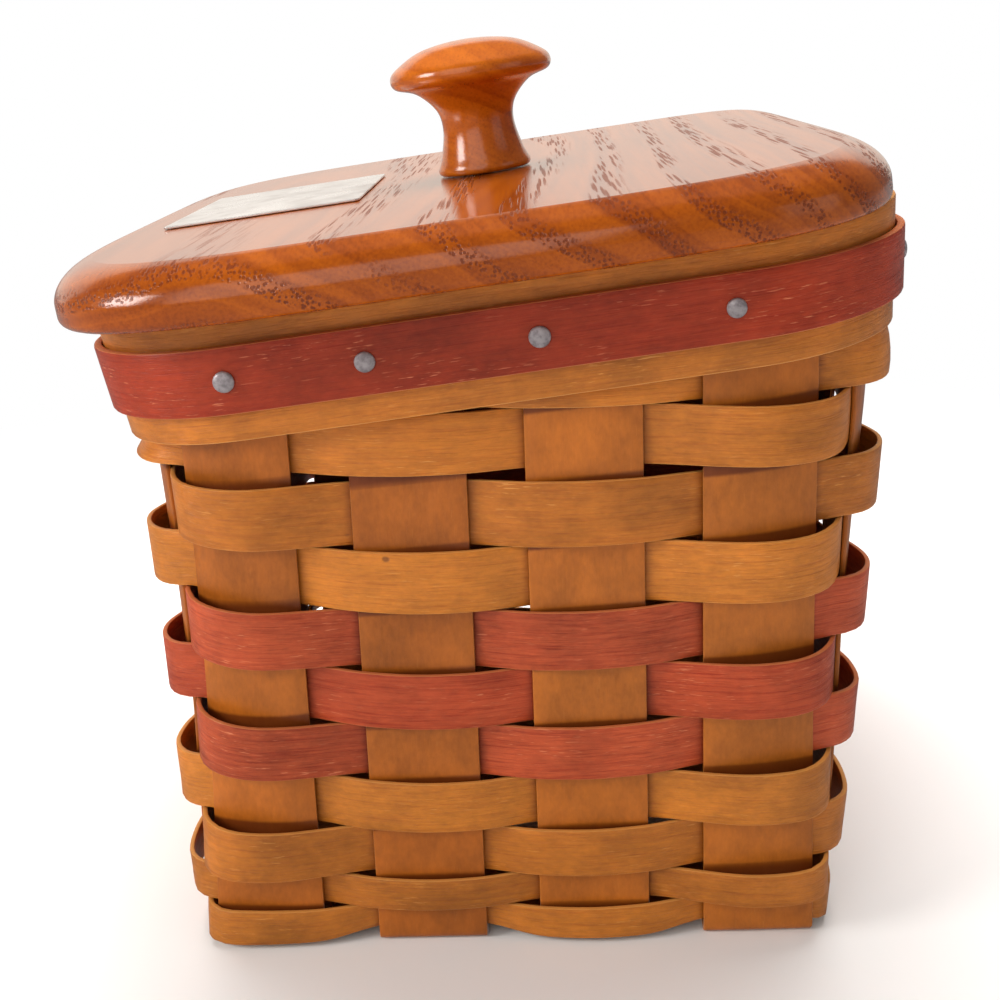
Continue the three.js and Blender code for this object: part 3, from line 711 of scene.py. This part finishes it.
def lid_matrix():
    """Lid's own frame: z = 0 on its underside, its middle where the board's outline has it."""
    low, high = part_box("lid_board")
    waist = (UNDER + LID_THICK - OVER_Z) / 2 * MM
    x = (low[0] + high[0]) / 2 + SIN * waist
    z = (RIM_HEIGHT + SEAT_GAP / COS + TAN * (x / MM - SHIFT_X)) * MM
    return Matrix.Translation((x, 0, z)) @ Matrix.Rotation(-SLOPE, 4, "Y")


LID_AT = lid_matrix()


def along_lid(name):
    """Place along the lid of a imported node's middle, in millimetres."""
    return (LID_AT.inverted() @ Vector([v * MM for v in node_middle(name)])).x / MM


def on_lid(mesh, x=0.0, z=0.0):
    mesh.transform(LID_AT @ Matrix.Translation((x * MM, 0, z * MM)))


def lid_outline(sides):
    points = []
    for i in range(sides):
        angle = 2 * math.pi * i / sides
        power = 2 / LID_SQUARENESS[4 * i // sides]
        c, s = math.cos(angle), math.sin(angle)
        x = math.copysign(abs(c) ** power, c) * LID_HALF_X
        y = math.copysign(abs(s) ** power, s) * LID_HALF_Y
        points.append((x, y))
    return points


def even_outline(points, count):
    """The same outline with evenly spaced points."""
    loop = np.array(points + points[:1])
    lengths = np.concatenate(([0], np.cumsum(np.linalg.norm(np.diff(loop, axis=0), axis=1))))
    wanted = np.linspace(0, lengths[-1], count, endpoint=False)
    return np.column_stack([np.interp(wanted, lengths, loop[:, k]) for k in (0, 1)])


def lid_rings():
    """Inset and height of each ring of the board's edge, from its underside to its flat top."""
    rings = []
    for a in np.linspace(math.pi / 2, 0, 6):
        rings.append((UNDER * (1 - math.cos(a)), UNDER * (1 - math.sin(a))))
    for a in np.linspace(0, ROUND_END, 16):
        inset = OVER_X * (1 - math.cos(a)) / (1 - math.cos(ROUND_END))
        rings.append((inset, LID_THICK - OVER_Z * (1 - math.sin(a) / math.sin(ROUND_END))))
    return rings


def make_board(knob_x):
    sides = 240
    rings = lid_rings()
    outer = even_outline(lid_outline(4 * sides), sides)
    halves = np.array((LID_HALF_X, LID_HALF_Y))
    vertices, faces = [], []
    for inset, z in rings:
        for x, y in outer * ((halves - inset) / halves):
            vertices.append((x * MM, y * MM, z * MM))
    for r in range(len(rings) - 1):
        for i in range(sides):
            j = (i + 1) % sides
            faces.append((r * sides + i, r * sides + j, (r + 1) * sides + j, (r + 1) * sides + i))
    faces.append(tuple(reversed(range(sides))))
    faces.append(tuple(range((len(rings) - 1) * sides, len(rings) * sides)))
    mesh = bpy.data.meshes.new("lid_top")
    mesh.from_pydata(vertices, [], faces)
    piece = new_piece("lid_top", mesh)
    reach, depth = KNOB_SCREW_HEAD + SEAT_GAP, KNOB_SCREW_DEPTH + SEAT_GAP
    recess = lathe("recess", [(0, -1), (reach, -1), (reach, depth), (0, depth)], 48)
    recess.transform(Matrix.Translation((knob_x * MM, 0, 0)))
    cutter = new_piece("recess", recess)
    cut = piece.modifiers.new("recess", "BOOLEAN")
    cut.object = cutter
    cut.operation = "DIFFERENCE"
    made = plain_mesh(piece, "lid_top")
    bpy.data.objects.remove(cutter)
    smooth(made, 30)
    flat_top = LID_THICK * MM * 0.9999
    for edge in made.edges:
        if all(made.vertices[v].co.z > flat_top for v in edge.vertices):
            edge.use_edge_sharp = True
    on_lid(made)
    return piece


def knob_profile():
    corners = [
        (KNOB_BASE - 0.5, 0), (KNOB_BASE, 0.5), (KNOB_BASE, 1.6), (KNOB_BASE - 1.2, 4.6),
        (KNOB_WAIST, KNOB_WAIST_Z), (KNOB_WAIST + 0.9, KNOB_WAIST_Z + 4.6),
        (KNOB_CAP - 5.5, KNOB_CAP_Z - 3.6), (KNOB_CAP - 0.9, KNOB_CAP_Z - 1.9),
        (KNOB_CAP, KNOB_CAP_Z + 0.4), (KNOB_CAP - 1.8, KNOB_CAP_Z + 2.7),
        (KNOB_CAP * 0.55, KNOB_HEIGHT - 1.2), (0, KNOB_HEIGHT),
    ]
    points = np.array([(0, 0)] + corners)
    smooth_points = []
    for i in range(1, len(points) - 1):
        before, start, end = points[i - 1], points[i], points[i + 1]
        after = points[i + 2] if i + 2 < len(points) else np.array((-end[0] - start[0], start[1]))
        if i == 1:
            before = start
        for u in np.linspace(0, 1, 7)[:-1]:
            smooth_points.append(catmull(before, start, end, after, u))
    smooth_points.append(points[-1])
    profile = [(0, 0)] + [(max(0.0, r), z) for r, z in smooth_points]
    profile[-1] = (0, KNOB_HEIGHT)
    return profile


def catmull(before, start, end, after, u):
    return 0.5 * (
        2 * start + (end - before) * u + (2 * before - 5 * start + 4 * end - after) * u * u
        + (3 * start - before - 3 * end + after) * u ** 3
    )


def make_knob(knob_x):
    mesh = lathe("knob", knob_profile(), 96)
    smooth(mesh, 50)
    on_lid(mesh, knob_x, LID_THICK + SEAT_GAP)
    return new_piece("knob", mesh)


def make_plate(plate_x):
    shape = bmesh.new()
    bmesh.ops.create_cube(shape, size=1.0)
    bmesh.ops.scale(shape, vec=Vector((PLATE_X, PLATE_Y, PLATE_THICK)) * MM, verts=shape.verts)
    upright = [e for e in shape.edges if abs((e.verts[0].co - e.verts[1].co).z) > 0.4 * PLATE_THICK * MM]
    bmesh.ops.bevel(shape, geom=upright, offset=PLATE_CORNER * MM, segments=6, affect="EDGES",
                    profile=0.5)
    rim = [e for e in shape.edges if len(e.link_faces) == 2 and e.calc_face_angle(0) > 1.2]
    bmesh.ops.bevel(shape, geom=rim, offset=0.14 * MM, segments=3, affect="EDGES", profile=0.5)
    mesh = bpy.data.meshes.new("bare_plate")
    shape.to_mesh(mesh)
    shape.free()
    smooth(mesh, 30)
    on_lid(mesh, plate_x, LID_THICK + SEAT_GAP / 2 + PLATE_THICK / 2)
    return new_piece("bare_plate", mesh)


# Finishes

def rgb(r, g, b):
    """Linear colour from the 0 to 255 values that a screen shows."""
    channels = []
    for value in (r, g, b):
        c = value / 255
        channels.append(c / 12.92 if c <= 0.04045 else ((c + 0.055) / 1.055) ** 2.4)
    return (*channels, 1.0)


def splint_group():
    """Thin-cut wood: streaks along the strip, small flecks, pin marks, a paler raw edge, painted shade
    in the weave's hollows, and a per-piece darkening that is random tone on rows and uprights and
    painted shade from the lid on the rim bands.
    """
    t = Tree("splint_grain", "ShaderNodeTree")
    for name in ("Body", "Streak", "Fleck", "Raw edge", "Hollow shade"):
        t.socket(name, "Color")
    for name in ("Streak amount", "Fleck amount"):
        t.socket(name, "Float")
    t.socket("Color", "Color", "OUTPUT")
    for name in ("Roughness", "Height"):
        t.socket(name, "Float", "OUTPUT")
    given = t.node("NodeGroupInput").outputs
    edge = t.node("ShaderNodeSeparateXYZ", {0: t.node("ShaderNodeUVMap", uv_map="edge_seed")}).outputs
    across, seed = edge[0], edge[1]
    own, darkness, hollow = [
        t.node("ShaderNodeAttribute", attribute_name=name).outputs["Fac"]
        for name in ("streaks", "darkness", "hollow")
    ]
    offset = t.node("ShaderNodeCombineXYZ",
                    {"X": seed, "Y": t.times(seed, 0.37), "Z": t.times(seed, 3.1)})
    place = t.vector("ADD", t.node("ShaderNodeUVMap", uv_map="UVMap").outputs[0], offset)

    def stretched(x, y, detail=3.0, rough=0.55, distortion=0.0):
        return t.noise(t.vector("MULTIPLY", place, (x, y, 1.0)), 1.0, detail, rough, distortion)

    tone = t.ramp(stretched(85, 115, 4, 0.65), 0.3, 0.72)
    broad = t.ramp(stretched(14, 24, 2), 0.3, 0.7)
    streak = t.ramp(stretched(60, 1500, 4, 0.6), 0.42, 0.72)
    fine = t.ramp(stretched(160, 4200, 3, 0.6), 0.45, 0.75)
    figure = t.ramp(stretched(260, 340, 2, 0.5, 0.6), 0.5, 0.8)
    streaked = t.times(t.plus(streak, t.times(fine, 1.2)), t.times(given["Streak amount"], own),
                       clamped=True)
    colour = t.mix(streaked, given["Body"], given["Streak"])
    # Per-piece darkening towards the streak colour: random tone on rows and uprights, painted shade from
    # the lid on the rim bands
    colour = t.mix(darkness, colour, given["Streak"])
    shade = t.times(t.minus(t.plus(tone, broad), 1.0), 0.3)
    speckle = t.times(t.minus(stretched(420, 900, 3, 0.7), 0.5), 0.5)
    value = t.plus(1.0, speckle, shade)
    colour = t.node("ShaderNodeHueSaturation", {"Color": colour, "Value": value}).outputs[0]
    patches = t.ramp(stretched(40, 120, 2), 0.38, 0.7)
    marks = t.ramp(stretched(300, 2600, 2, 0.5), 0.62, 0.72)
    fleck = t.times(t.times(marks, patches), t.times(given["Fleck amount"], own), clamped=True)
    colour = t.mix(fleck, colour, given["Fleck"])
    colour = t.mix(t.times(figure, 0.15), colour, given["Streak"])
    cells = t.voronoi(t.vector("MULTIPLY", place, (55, 70, 1.0)))
    chance = t.node("ShaderNodeSeparateColor", {0: cells["Color"]})
    pin = t.times(t.ramp(cells["Distance"], 0.055, 0.025), t.math("GREATER_THAN", chance, 0.72))
    colour = t.mix(t.times(pin, 0.65), colour, rgb(92, 50, 24))
    rim = t.times(t.ramp(t.math("ABSOLUTE", across), 0.975, 0.998), own)
    colour = t.mix(t.times(rim, 0.7), colour, given["Raw edge"])
    # Painted shade: darker, redder colour where a strip runs in the weave's hollows
    colour = t.mix(t.times(t.ramp(hollow, 0.6, 1.0), 0.8), colour, given["Hollow shade"])
    rough = t.plus(0.36, t.times(streak, 0.10), t.times(rim, 0.2))
    lines = t.plus(t.times(streak, 0.5), t.times(fine, 0.6))
    height = t.minus(t.times(tone, 0.6), t.times(lines, own))
    t.give(Color=colour, Roughness=rough, Height=t.minus(height, t.times(pin, 1.5)))
    return t.tree


def oak_group():
    """Solid oak cut lengthwise along Y: growth rings, open pores and flecks, all in the round."""
    t = Tree("oak_grain", "ShaderNodeTree")
    for name in ("Light", "Dark", "Pore"):
        t.socket(name, "Color")
    t.socket("Place", "Vector")
    for name in ("Pore amount", "Ring pitch"):
        t.socket(name, "Float")
    t.socket("Color", "Color", "OUTPUT")
    for name in ("Roughness", "Height", "Lacquer"):
        t.socket(name, "Float", "OUTPUT")
    given = t.node("NodeGroupInput").outputs
    place = given["Place"]

    def stretched(x, y, detail=3.0):
        return t.noise(t.vector("MULTIPLY", place, (x, y, x)), 1.0, detail)

    sway = t.times(t.minus(stretched(16, 3.5, 2.0), 0.5), 0.022)
    centre = t.vector("SUBTRACT", place, (-0.055, 0.0, -0.085))
    distance = t.plus(t.vector("LENGTH", t.vector("MULTIPLY", centre, (1.0, 0.0, 1.0))), sway)
    ring = t.math("FRACT", t.math("DIVIDE", distance, given["Ring pitch"]))
    early = t.times(t.ramp(ring, 0.0, 0.06), t.ramp(ring, 0.5, 0.28))
    lengthwise = t.node("ShaderNodeSeparateXYZ", {0: place}).outputs[1]
    layered = t.node("ShaderNodeCombineXYZ", {"X": t.times(distance, 620.0), "Y": lengthwise})
    layers = t.ramp(t.noise(t.vector("MULTIPLY", layered, (1.0, 6.0, 1.0)), 1.0, 2.0), 0.35, 0.68)
    fibre = t.ramp(stretched(1500, 30), 0.35, 0.7)
    tone = t.ramp(stretched(38, 7), 0.3, 0.7)
    dark = t.plus(t.times(early, 0.16), t.times(fibre, 0.25), t.times(layers, 0.34),
                  t.times(tone, 0.25), clamped=True)
    colour = t.mix(dark, given["Light"], given["Dark"])
    cells = t.voronoi(t.vector("MULTIPLY", place, (1400, 50, 1400)))["Distance"]
    patch = t.ramp(stretched(42, 26, 2.0), 0.29, 0.48)
    open_pore = t.times(t.ramp(cells, 0.52, 0.30), early, patch, given["Pore amount"], clamped=True)
    faint = t.times(t.ramp(cells, 0.36, 0.2), 0.22)
    t.give(
        Color=t.mix(t.math("MAXIMUM", open_pore, faint), colour, given["Pore"]),
        Roughness=t.plus(0.20, t.times(open_pore, 0.15)),
        Height=t.minus(t.times(fibre, 0.12), open_pore),
        Lacquer=t.times(t.minus(1.0, open_pore), 0.45),
    )
    return t.tree


def new_material(name, **settings):
    """A material and its tree, with uniform values set on the shader's own sockets."""
    material = bpy.data.materials.new(name)
    material.use_nodes = True
    t = Tree(name, material.node_tree)
    shader = material.node_tree.nodes["Principled BSDF"]
    for key, value in settings.items():
        shader.inputs[key.replace("_", " ")].default_value = value
    return material, t, shader


def use_grain(t, shader, group, depth, inputs):
    grain = t.node("ShaderNodeGroup", node_tree=group)
    for key, value in inputs.items():
        t.feed(grain.inputs[key], value)
    if "Lacquer" in grain.outputs:
        t.feed(shader.inputs["Coat Weight"], grain.outputs["Lacquer"])
    t.feed(shader.inputs["Base Color"], grain.outputs["Color"])
    t.feed(shader.inputs["Roughness"], grain.outputs["Roughness"])
    bump = t.node("ShaderNodeBump", {"Height": grain.outputs["Height"], "Distance": depth * MM,
                                     "Strength": 1.0})
    t.feed(shader.inputs["Normal"], bump)


def splint_wood(name, group, depth, coat, coat_rough, level, grain):
    material, t, shader = new_material(name, Coat_Weight=coat, Coat_Roughness=coat_rough,
                                       Specular_IOR_Level=level)
    use_grain(t, shader, group, depth, grain)
    return material


def splint_woods():
    """The honey maple and the rose-dyed maple, each with the record's slot name."""
    group = splint_group()
    # The hollow colours below are painted shade for where strips tuck behind others
    maple = splint_wood("honey_maple", group, 0.07, 0.12, 0.3, 0.3, {
        "Body": rgb(190, 114, 34), "Streak": rgb(154, 76, 14), "Fleck": rgb(216, 150, 76),
        "Raw edge": rgb(214, 150, 78), "Hollow shade": rgb(92, 34, 8),
        "Streak amount": 0.32, "Fleck amount": 0.6})
    rose = splint_wood("rose_dyed_maple", group, 0.06, 0.06, 0.35, 0.25, {
        "Body": rgb(178, 78, 42), "Streak": rgb(130, 28, 4), "Fleck": rgb(218, 132, 92),
        "Raw edge": rgb(204, 124, 74), "Hollow shade": rgb(60, 12, 6),
        "Streak amount": 0.4, "Fleck amount": 0.7})
    return ("maple_splint", maple), ("rose_splint", rose)


def lid_place(t):
    """Object coordinates turned into the lid's own frame."""
    coords = t.node("ShaderNodeTexCoord").outputs["Object"]
    origin = tuple(LID_AT.translation)
    moved = t.vector("SUBTRACT", coords, origin)
    turned = t.node("ShaderNodeMapping", {"Vector": moved, "Rotation": (0.0, SLOPE, 0.0)})
    return turned.outputs[0]


def oak(group, name, pore_amount, ring_pitch, light, dark):
    material, t, shader = new_material(name, Coat_Roughness=0.14, Specular_IOR_Level=0.34)
    use_grain(t, shader, group, 0.07, {
        "Light": light, "Dark": dark, "Pore": rgb(112, 45, 5), "Place": lid_place(t),
        "Pore amount": pore_amount, "Ring pitch": ring_pitch})
    return material


def metal(name, colour, dark, roughness, scale, metallic=1.0):
    material, t, shader = new_material(name, Metallic=metallic)
    coords = t.node("ShaderNodeTexCoord").outputs["Object"]
    mottle = t.ramp(t.noise(coords, scale, 4.0, 0.6), 0.35, 0.7)
    scratch = t.noise(t.vector("MULTIPLY", coords, (900, 4000, 900)), 1.0, 2.0)
    t.feed(shader.inputs["Base Color"], t.mix(mottle, colour, dark))
    t.feed(shader.inputs["Roughness"], t.plus(roughness, t.times(mottle, 0.14)))
    bump = t.node("ShaderNodeBump", {"Height": scratch, "Distance": 0.01 * MM, "Strength": 0.6})
    t.feed(shader.inputs["Normal"], bump)
    return material


# Assembly

def dress(piece, body, slot, material, *nodes):
    piece.data.materials.clear()
    piece.data.materials.append(material)
    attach(piece, body)
    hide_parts(*nodes)


def make_rows(tree, woods, own_tone):
    for row in range(ROWS):
        slot, finish = woods[row in DYED_ROWS]
        width = row_foot(row + 1) - row_foot(row) - ROW_GAP
        rails, hollow = weaver_rails(row)
        piece = sheet_piece(tree, f"woven_row_{row + 1:02d}", rails, WEAVER_THICK, width,
                            ROW_COLUMNS, 1.7 * row + 0.4, finish, own_tone.uniform(0, 0.3),
                            waviness=ROW_WAVINESS, hollow=hollow)
        dress(piece, "basket", slot, finish, f"weaver_{row + 1:02d}")


def make_splints(tree, woods, own_tone):
    slot, finish = woods[False]
    for long_way, label, seed in ((True, "long", 31.0), (False, "cross", 57.0)):
        for own in range(SPLINTS):
            rails, hollow = splint_rails(own, long_way)
            piece = sheet_piece(tree, f"{label}_upright_{own + 1}", rails, SPLINT_THICK,
                                SPLINT_WIDTH, WIDE_COLUMNS, seed + 2.3 * own, finish,
                                own_tone.uniform(0.5, 0.8), streaks=0.15, hollow=hollow)
            dress(piece, "basket", slot, finish, f"{label}_splint_{own + 1}")


def make_bands(tree, woods):
    whole, trim = (-RIM_WIDTH, 0), (TRIM_TOP - TRIM_WIDTH, TRIM_TOP)
    # The last column darkens each band: painted shade from the lid over the rim
    bands = (
        ("inner_band", "rim_inner_band", whole, -BAND_IN - RIM_INNER / 2, RIM_INNER, 81.0, 0.3),
        ("outer_band", "rim_outer_band", whole, BAND_IN + RIM_OUTER / 2, RIM_OUTER, 84.0, 0.2),
        ("rose_band", "trim_band", trim, TRIM_IN + TRIM_THICK / 2, TRIM_THICK, 88.0, 0.7),
    )
    for name, node, (low, high), off, thick, seed, darkness in bands:
        slot, finish = woods[node == "trim_band"]
        rails = band_rails(low, high, off)
        piece = sheet_piece(tree, name, rails, thick, high - low, WIDE_COLUMNS, seed, finish,
                            darkness, edge=BAND_EDGE)
        dress(piece, "basket", slot, finish, node)


def make_basket(woods, tack_finish):
    tree = sheet_tree()
    own_tone = np.random.default_rng(11)
    make_rows(tree, woods, own_tone)
    make_splints(tree, woods, own_tone)
    make_bands(tree, woods)
    names = [f"tack_{face}_{i}" for face in ("front", "right", "back", "left") for i in (1, 2, 3, 4)]
    dress(make_tacks(tack_finish), "basket", "tack_metal", tack_finish, *names)


def make_lid(board_finish, knob_finish, plate_finish, screw_finish):
    knob_x = along_lid("knob_screw")
    dress(make_board(knob_x), "lid", "oak", board_finish, "lid_board")
    dress(make_knob(knob_x), "lid", "oak", knob_finish, "lid_knob")
    dress(make_plate(along_lid("tag_plate")), "lid", "plate_metal", plate_finish, "tag_plate")
    for name in ("lid_cleat_front", "lid_cleat_back"):
        finish_node(name, board_finish)
    for name in ["knob_screw"] + [f"cleat_screw_{i}" for i in (1, 2, 3, 4)]:
        finish_node(name, screw_finish)


def finish_node(name, material):
    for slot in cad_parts[name].material_slots:
        slot.material = material


# Surroundings

def make_floor():
    mesh = bpy.data.meshes.new("floor")
    mesh.from_pydata([(-3, -3, 0), (3, -3, 0), (3, 3, 0), (-3, 3, 0)], [], [(0, 1, 2, 3)])
    floor = new_piece("floor", mesh)
    material, t, shader = new_material("pale_floor", Base_Color=rgb(246, 245, 243), Roughness=0.8)
    coords = t.node("ShaderNodeTexCoord").outputs["Object"]
    far = t.ramp(t.vector("LENGTH", coords), 0.12, 0.42)
    path = t.node("ShaderNodeLightPath").outputs
    mirrored = path["Is Glossy Ray"]
    level = t.minus(1.0, t.times(mirrored, 0.7))
    plain = t.node("ShaderNodeEmission", {"Color": (1, 1, 1, 1), "Strength": level})
    share = t.math("MAXIMUM", t.times(far, path["Is Camera Ray"]), mirrored)
    blend = t.node("ShaderNodeMixShader", {0: share})
    t.feed(blend.inputs[1], shader)
    t.feed(blend.inputs[2], plain)
    t.feed(material.node_tree.nodes["Material Output"].inputs["Surface"], blend)
    mesh.materials.append(material)


def make_world():
    world = bpy.data.worlds.new("studio")
    bpy.context.scene.world = world
    world.use_nodes = True
    t = Tree("studio", world.node_tree)
    background = world.node_tree.nodes["Background"]
    background.inputs["Color"].default_value = (1, 1, 1, 1)
    path = t.node("ShaderNodeLightPath").outputs
    level, in_mirrors, in_view = 0.27, 0.12, 1.0
    mirrored = t.times(path["Is Glossy Ray"], in_mirrors - level)
    seen = t.times(path["Is Camera Ray"], in_view - level)
    t.feed(background.inputs["Strength"], t.plus(level, t.plus(mirrored, seen)))


def area_light(name, place, target, size, power, colour, glossy=True):
    data = bpy.data.lights.new(name, "AREA")
    data.shape = "RECTANGLE"
    data.size, data.size_y = size
    data.energy = power
    data.color = colour
    light = new_piece(name, data)
    light.location = place
    light.rotation_euler = (Vector(target) - Vector(place)).to_track_quat("-Z", "Y").to_euler()
    light.visible_camera = False
    light.visible_glossy = glossy


def make_lights():
    middle = (0, 0, 0.09)
    area_light("key", (-0.75, -0.34, 0.42), middle, (0.3, 0.3), 4.4, (1.0, 0.96, 0.93))
    area_light("front", (-0.35, -0.9, 0.6), middle, (0.85, 0.85), 3.15, (1.0, 0.97, 0.94))
    area_light("fill", (0.9, -0.5, 0.4), middle, (0.6, 0.6), 0.6, (1.0, 0.97, 0.94))
    area_light("top", (0.0, 0.35, 1.0), middle, (1.0, 0.8), 18.0, (1.0, 0.98, 0.97), glossy=False)
    area_light("sheen", (-0.3, 1.3, 0.5), middle, (3.0, 0.9), 6.2, (1.0, 0.95, 0.84))


def make_camera():
    data = bpy.data.cameras.new("camera")
    data.sensor_width = 36.0
    data.lens = CAMERA_LENS
    data.shift_x, data.shift_y = CAMERA_SHIFT
    data.clip_start = 0.01
    camera = new_piece("camera", data)
    place = Matrix.Translation(Vector(CAMERA_PLACE) * MM)
    for angle, axis in ((-CAMERA_YAW, "Z"), (math.pi / 2 - CAMERA_PITCH, "X"), (-CAMERA_ROLL, "Z")):
        place = place @ Matrix.Rotation(angle, 4, axis)
    camera.matrix_world = place
    bpy.context.scene.camera = camera


def main():
    bpy.context.scene.view_settings.view_transform = "Standard"
    make_camera()
    make_world()
    make_lights()
    make_floor()
    oak_wood = oak_group()
    board = oak(oak_wood, "lid_oak", 1.0, 0.009, rgb(172, 84, 5), rgb(114, 43, 2))
    turned = oak(oak_wood, "knob_oak", 0.12, 0.0034, rgb(198, 104, 14), rgb(158, 70, 6))
    tacks = metal("tack_grey", rgb(178, 170, 172), rgb(134, 126, 130), 0.38, 700.0, 0.5)
    screws = metal("screw_zinc", rgb(176, 176, 178), rgb(140, 140, 142), 0.28, 500.0)
    plate = metal("plate_grey", rgb(228, 222, 218), rgb(206, 199, 194), 0.26, 90.0, 0.6)
    make_basket(splint_woods(), tacks)
    make_lid(board, turned, plate, screws)


main()
